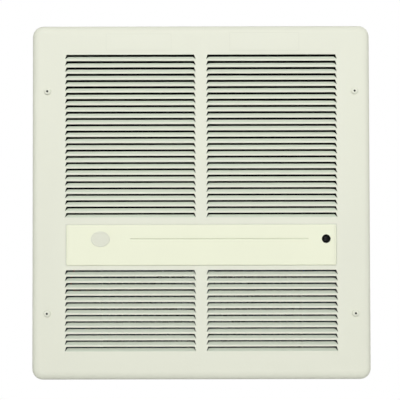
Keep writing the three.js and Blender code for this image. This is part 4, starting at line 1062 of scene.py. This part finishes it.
def oval_plate():
    mesh = bmesh.new()
    middle = (oval_low + oval_high) / 2
    half = (oval_high - oval_low) / 2
    place = Matrix.Translation((middle.x, oval_high.y, middle.z))
    squash = Matrix.Diagonal((half.x, 1.0, half.z, 1.0))
    stand = Matrix.Rotation(math.pi / 2, 4, "X")
    bmesh.ops.create_circle(
        mesh, cap_ends=True, radius=1.0, segments=OVAL_STEPS, matrix=place @ squash @ stand,
    )
    front = raise_face(mesh, mesh.faces[:][0], oval_low.y + OVAL_ROLL - oval_high.y, keep_back=True)
    roll_forwards(mesh, front, OVAL_ROLL, OVAL_ROLL, PLATE_ROLL_STEPS)
    inset(mesh, front, OVAL_RIM)
    inset(mesh, front, OVAL_SINK, -OVAL_SINK)
    point_outwards(mesh)
    return finish_piece("oval_plate", mesh, grey_coat, replaced=["badge_disc"])


oval = oval_plate()
print("oval plate:", len(oval.data.polygons), "faces")


# %% [markdown]
# The cover screws have low domed heads painted with the cover, and a small socket with a pin in it, so
# that only the right key turns them. A screw is a stack of circles, each bridged to the one before: the
# shank, the rim of the head, and the dome's arc. The socket is a six-sided loop bridged to the last of
# them, and the socket's faces are bare steel, darkened to near black as painted shade in the recess.

# %% Cover screws
HEAD_RADIUS = 5.2 * MM
HEAD_HEIGHT = 0.46 * HEAD_RADIUS
HEAD_RIM = 0.5 * MM
SOCKET_RADIUS = 1.75 * MM
SOCKET_DEPTH = 1.5 * MM
SOCKET_SIDES = 6
DOME_EDGE = 1.1 * SOCKET_RADIUS
PIN_RADIUS = 0.55 * MM
PIN_SINK = 0.3 * SOCKET_DEPTH
PIN_STEPS = 12
SHANK_RADIUS = 2.1 * MM
TIP_CHAMFER = 0.4 * SHANK_RADIUS
DOME_STEPS = 7
HEAD_STEPS = 48


def stack_rings(mesh, x, z, rings, segments):
    """Bridges one circle after another, and returns the edges of the last one."""
    edges = circle_at(mesh, (x, rings[0][0], z), rings[0][1], segments)
    for y, radius in rings[1:]:
        following = circle_at(mesh, (x, y, z), radius, segments)
        bmesh.ops.bridge_loops(mesh, edges=edges + following)
        edges = following
    return edges


def screw_rings(low, high):
    """Depth and radius of each ring of a screw, from its tip to the edge of its socket."""
    seat = low.y + HEAD_HEIGHT
    rim = seat - HEAD_RIM
    rise = rim - low.y
    rings = [(high.y, SHANK_RADIUS - TIP_CHAMFER), (high.y - TIP_CHAMFER, SHANK_RADIUS)]
    rings += [(seat, SHANK_RADIUS), (seat, HEAD_RADIUS), (rim, HEAD_RADIUS)]
    for step in range(1, DOME_STEPS + 1):
        turn = math.pi / 2 * step / DOME_STEPS
        radius = DOME_EDGE + (HEAD_RADIUS - DOME_EDGE) * math.cos(turn)
        rings.append((rim - rise * math.sin(turn), radius))
    return rings


def cover_screw(node):
    mesh = bmesh.new()
    low, high = corners(node)
    x, z = (low.x + high.x) / 2, (low.z + high.z) / 2
    floor_y = low.y + SOCKET_DEPTH
    dome = stack_rings(mesh, x, z, screw_rings(low, high), HEAD_STEPS)
    tip = [edge for edge in mesh.edges if all(abs(vert.co.y - high.y) < HAIR for vert in edge.verts)]
    bmesh.ops.contextual_create(mesh, geom=tip)
    edges = dome
    for y, radius, sides in (
        (low.y, SOCKET_RADIUS, SOCKET_SIDES),
        (floor_y, SOCKET_RADIUS, SOCKET_SIDES),
        (floor_y, PIN_RADIUS, PIN_STEPS),
        (low.y + PIN_SINK, PIN_RADIUS, PIN_STEPS),
    ):
        following = circle_at(mesh, (x, y, z), radius, sides)
        bmesh.ops.bridge_loops(mesh, edges=edges + following)
        edges = following
    bmesh.ops.contextual_create(mesh, geom=edges)
    point_outwards(mesh)
    # the socket's faces take the near-black steel, which is painted shade in the recess
    for face in mesh.faces:
        centre = face.calc_center_median()
        sunk = low.y + HAIR < centre.y < floor_y + HAIR
        if sunk and math.hypot(centre.x - x, centre.z - z) < SOCKET_RADIUS:
            face.material_index = 1
    return finish_piece(
        "painted_" + node, mesh, ivory_coat, replaced=[node], second=metals["screw_socket"],
    )


for node in SCREWS:
    screw = cover_screw(node)
print("cover screw:", len(screw.data.polygons), "faces")


# %% [markdown]
# The box in the wall is folded from thin sheet, so its outer edges are tight bends. The CAD mesh has the
# right knockouts and holes but sharp edges, and it is made of loose triangles. A copy of it is merged, the
# triangles of each flat side are joined again, and the long outer edges are bevelled by nearly the
# thickness of the sheet. The bends are so small that flat facets look round.

# %% Folded box
BEND_RADIUS = 1.1 * MM
BEND_STEPS = 5
BEND_SHARP = math.radians(10)
FLAT_ANGLE = math.radians(1)
LONG_SHARE = 0.8


def is_bend(edge):
    """Whether an edge is a long outer one, along the box's back or between two of its walls."""
    first, second = (vert.co for vert in edge.verts)
    if (first - second).length < LONG_SHARE * -box_low.y:
        return False
    middle = (first + second) / 2
    at_side = abs(abs(middle.x) - box_half.x) < HAIR
    at_end = abs(abs(middle.z) - box_half.z) < HAIR
    at_back = abs(middle.y - box_high.y) < HAIR
    return at_side + at_end + at_back == 2


def folded_box():
    mesh = bmesh.new()
    mesh.from_mesh(frame["nodes"]["back_box"].data)
    point_outwards(mesh)
    bmesh.ops.dissolve_limit(
        mesh, angle_limit=FLAT_ANGLE, verts=mesh.verts[:], edges=mesh.edges[:],
        use_dissolve_boundaries=False,
    )
    bends = [edge for edge in mesh.edges if is_bend(edge)]
    print("bends:", len(bends))
    bmesh.ops.bevel(
        mesh, geom=bends, offset=BEND_RADIUS, offset_type="OFFSET", segments=BEND_STEPS,
        profile=0.5, affect="EDGES", material=-1, clamp_overlap=True,
    )
    return finish_piece(
        "folded_box", mesh, box_with_painted_shade, replaced=["back_box"], angle=BEND_SHARP,
    )


box_piece = folded_box()
print("folded box:", len(box_piece.data.polygons), "faces")


# %% [markdown]
# Every CAD piece that keeps its shape gets the finish of its material. The table goes from the slot that
# the frame names to the finish made above, so a new piece only needs its slot. Two kinds of sheet differ
# from their slot: the pieces next to the element, whose zinc is dulled by heat and darkened as painted
# shade, and the bracket of the controls, which is coated black.

# %% Finishes of the carried-over pieces
FINISHES = {
    **metals,
    **mouldings,
    "ivory_enamel": ivory_coat,
    "cream_enamel": cream_coat,
    "grey_enamel": grey_coat,
    "clear_film": film_coat,
    "galvanised_sheet": galvanised,
    "laminated_steel": motor_stack,
    "element_steel": heated_steel,
}
OTHER_FINISHES = {
    "control_bracket": black_coat,
    "fan_deck": dulled_and_shaded_zinc,
    "outlet_baffle": dulled_and_shaded_zinc,
    "element_bracket_left": dulled_and_shaded_zinc,
    "element_bracket_right": dulled_and_shaded_zinc,
}


def dress_frame():
    """Gives each CAD piece the finish of its slot, or its own where it has one."""
    for part in frame["record"]["subparts"]:
        node = part["node"]
        materials = frame["nodes"][node].data.materials
        materials.clear()
        materials.append(OTHER_FINISHES.get(node, FINISHES[part["material_slot"]]))


dress_frame()


# %% [markdown]
# The heater hangs clear of a pale floor, as a cut-out photograph shows it. The floor keeps its shadow. It
# also glows a little towards the camera and mirrors, so it looks pale with no more light on the heater.

# %% Floor
FLOOR_DROP = 0.5
FLOOR_SIZE = 2.4
FLOOR_CELLS = 8
FLOOR_TONE = (0.66, 0.66, 0.65)
FLOOR_DARK, FLOOR_LIGHT = 0.98, 1.02
FLOOR_GLOW = (0.42, 0.42, 0.41)
FLOOR_CLOUD_SCALE = 3.0
FLOOR_GRAIN_SCALE = 300.0
FLOOR_RELIEF = 0.05 * MM
FLOOR_ROUGHNESS = 0.75
FLOOR_UNEVENNESS = 0.1


def straight_rays(tree):
    """One for rays from the camera, from a mirror or through glass, and none for the rest."""
    path = tree.nodes.new("ShaderNodeLightPath")
    rays = ("Is Camera Ray", "Is Glossy Ray", "Is Transmission Ray")
    camera_ray, glossy, through = (Term(tree, path.outputs[name]) for name in rays)
    return camera_ray.larger(glossy).larger(through)


def pale_floor():
    """A plain floor that glows a little towards the camera."""
    mesh = bmesh.new()
    bmesh.ops.create_grid(
        mesh, x_segments=FLOOR_CELLS, y_segments=FLOOR_CELLS, size=FLOOR_SIZE / 2,
    )
    bmesh.ops.translate(mesh, verts=mesh.verts[:], vec=(0, 0, cover_low.z - FLOOR_DROP))
    data = bpy.data.meshes.new("floor")
    mesh.to_mesh(data)
    mesh.free()
    finish = Finish("pale_floor", Emission_Strength=1.0)
    cloud = finish.noise(FLOOR_CLOUD_SCALE, detail=3.0)
    grain = finish.noise(FLOOR_GRAIN_SCALE, detail=2.0)
    finish.bump(grain, FLOOR_RELIEF)
    colours = finish.mix(cloud, tone(FLOOR_TONE, FLOOR_DARK), tone(FLOOR_TONE, FLOOR_LIGHT))
    glow = finish.mix(straight_rays(finish.tree), tone(FLOOR_GLOW, 0.0), tone(FLOOR_GLOW))
    gloss = FLOOR_ROUGHNESS + FLOOR_UNEVENNESS * grain
    data.materials.append(finish.done(Base_Color=colours, Roughness=gloss, Emission_Color=glow))
    new_object("floor", data)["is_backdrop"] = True


pale_floor()
print("floor at", round(cover_low.z - FLOOR_DROP, 3), "m")


# %% [markdown]
# The ground behind is plain white for the camera and for mirror-like rays, and a quiet grey for the rest,
# so that metal reflects a white room while the ground itself sheds little light.

# %% White ground
SKY_TONE = (1.0, 1.0, 1.0, 1.0)
SEEN_LEVEL = 1.0
LIT_LEVEL = 0.15


def white_ground():
    """White where the camera or a mirror ray looks past the object, and softer as a light."""
    world = bpy.data.worlds.new("studio")
    bpy.context.scene.world = world
    world.use_nodes = True
    tree = world.node_tree
    tree.nodes.clear()
    seen = tree.nodes.new("ShaderNodeBackground")
    lit = tree.nodes.new("ShaderNodeBackground")
    for node, level in ((seen, SEEN_LEVEL), (lit, LIT_LEVEL)):
        node.inputs["Color"].default_value = SKY_TONE
        node.inputs["Strength"].default_value = level
    mix = tree.nodes.new("ShaderNodeMixShader")
    output = tree.nodes.new("ShaderNodeOutputWorld")
    tree.links.new(straight_rays(tree).socket, mix.inputs[0])
    tree.links.new(lit.outputs[0], mix.inputs[1])
    tree.links.new(seen.outputs[0], mix.inputs[2])
    tree.links.new(mix.outputs[0], output.inputs[0])


white_ground()
print("ground:", bpy.context.scene.world.name)


# %% [markdown]
# Soft light comes from large lamps in front, one above and one on each side, so the rolled edges darken
# gently as they turn away, and a lamp behind shows the box's relief to whoever walks round it.

# %% Lamps
LIT_PLACE = (0, -0.1, 0)
LIT_FROM_BEHIND = (0, -0.05, 0)


def soft_lamp(name, place, target, size, watts):
    """A rectangular area lamp at a place, turned towards a target."""
    data = bpy.data.lights.new(name, "AREA")
    data.shape = "RECTANGLE"
    data.size, data.size_y = size
    data.energy = watts
    lamp = new_object(name, data)
    turn = (Vector(target) - Vector(place)).to_track_quat("-Z", "Y").to_matrix().to_4x4()
    lamp.matrix_world = Matrix.Translation(place) @ turn


soft_lamp("upper_lamp", (0.0, -3.6, 1.8), LIT_PLACE, (2.6, 1.3), 84.0)
soft_lamp("left_lamp", (-2.6, -2.9, 0.6), LIT_PLACE, (1.4, 2.0), 32.8)
soft_lamp("right_lamp", (2.6, -2.9, 0.6), LIT_PLACE, (1.4, 2.0), 35.0)
soft_lamp("rear_lamp", (1.4, 2.2, 1.3), LIT_FROM_BEHIND, (1.4, 1.0), 26.0)
print("lamps:", [lamp.name for lamp in bpy.data.lights])


# %% [markdown]
# The last cell measures the dressed model against its frame, prints how much its box has grown, and sets
# the colour management.

# %% Measure and finish
made_box = [list(corner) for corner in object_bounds()]
growth = [round((made - cad) / MM, 2) for pair in zip(made_box, cad_box) for made, cad in zip(*pair)]
print("growth of the box in mm, low corner then high:", growth)
bpy.context.scene.view_settings.view_transform = "Standard"
print("colour management:", bpy.context.scene.view_settings.view_transform)
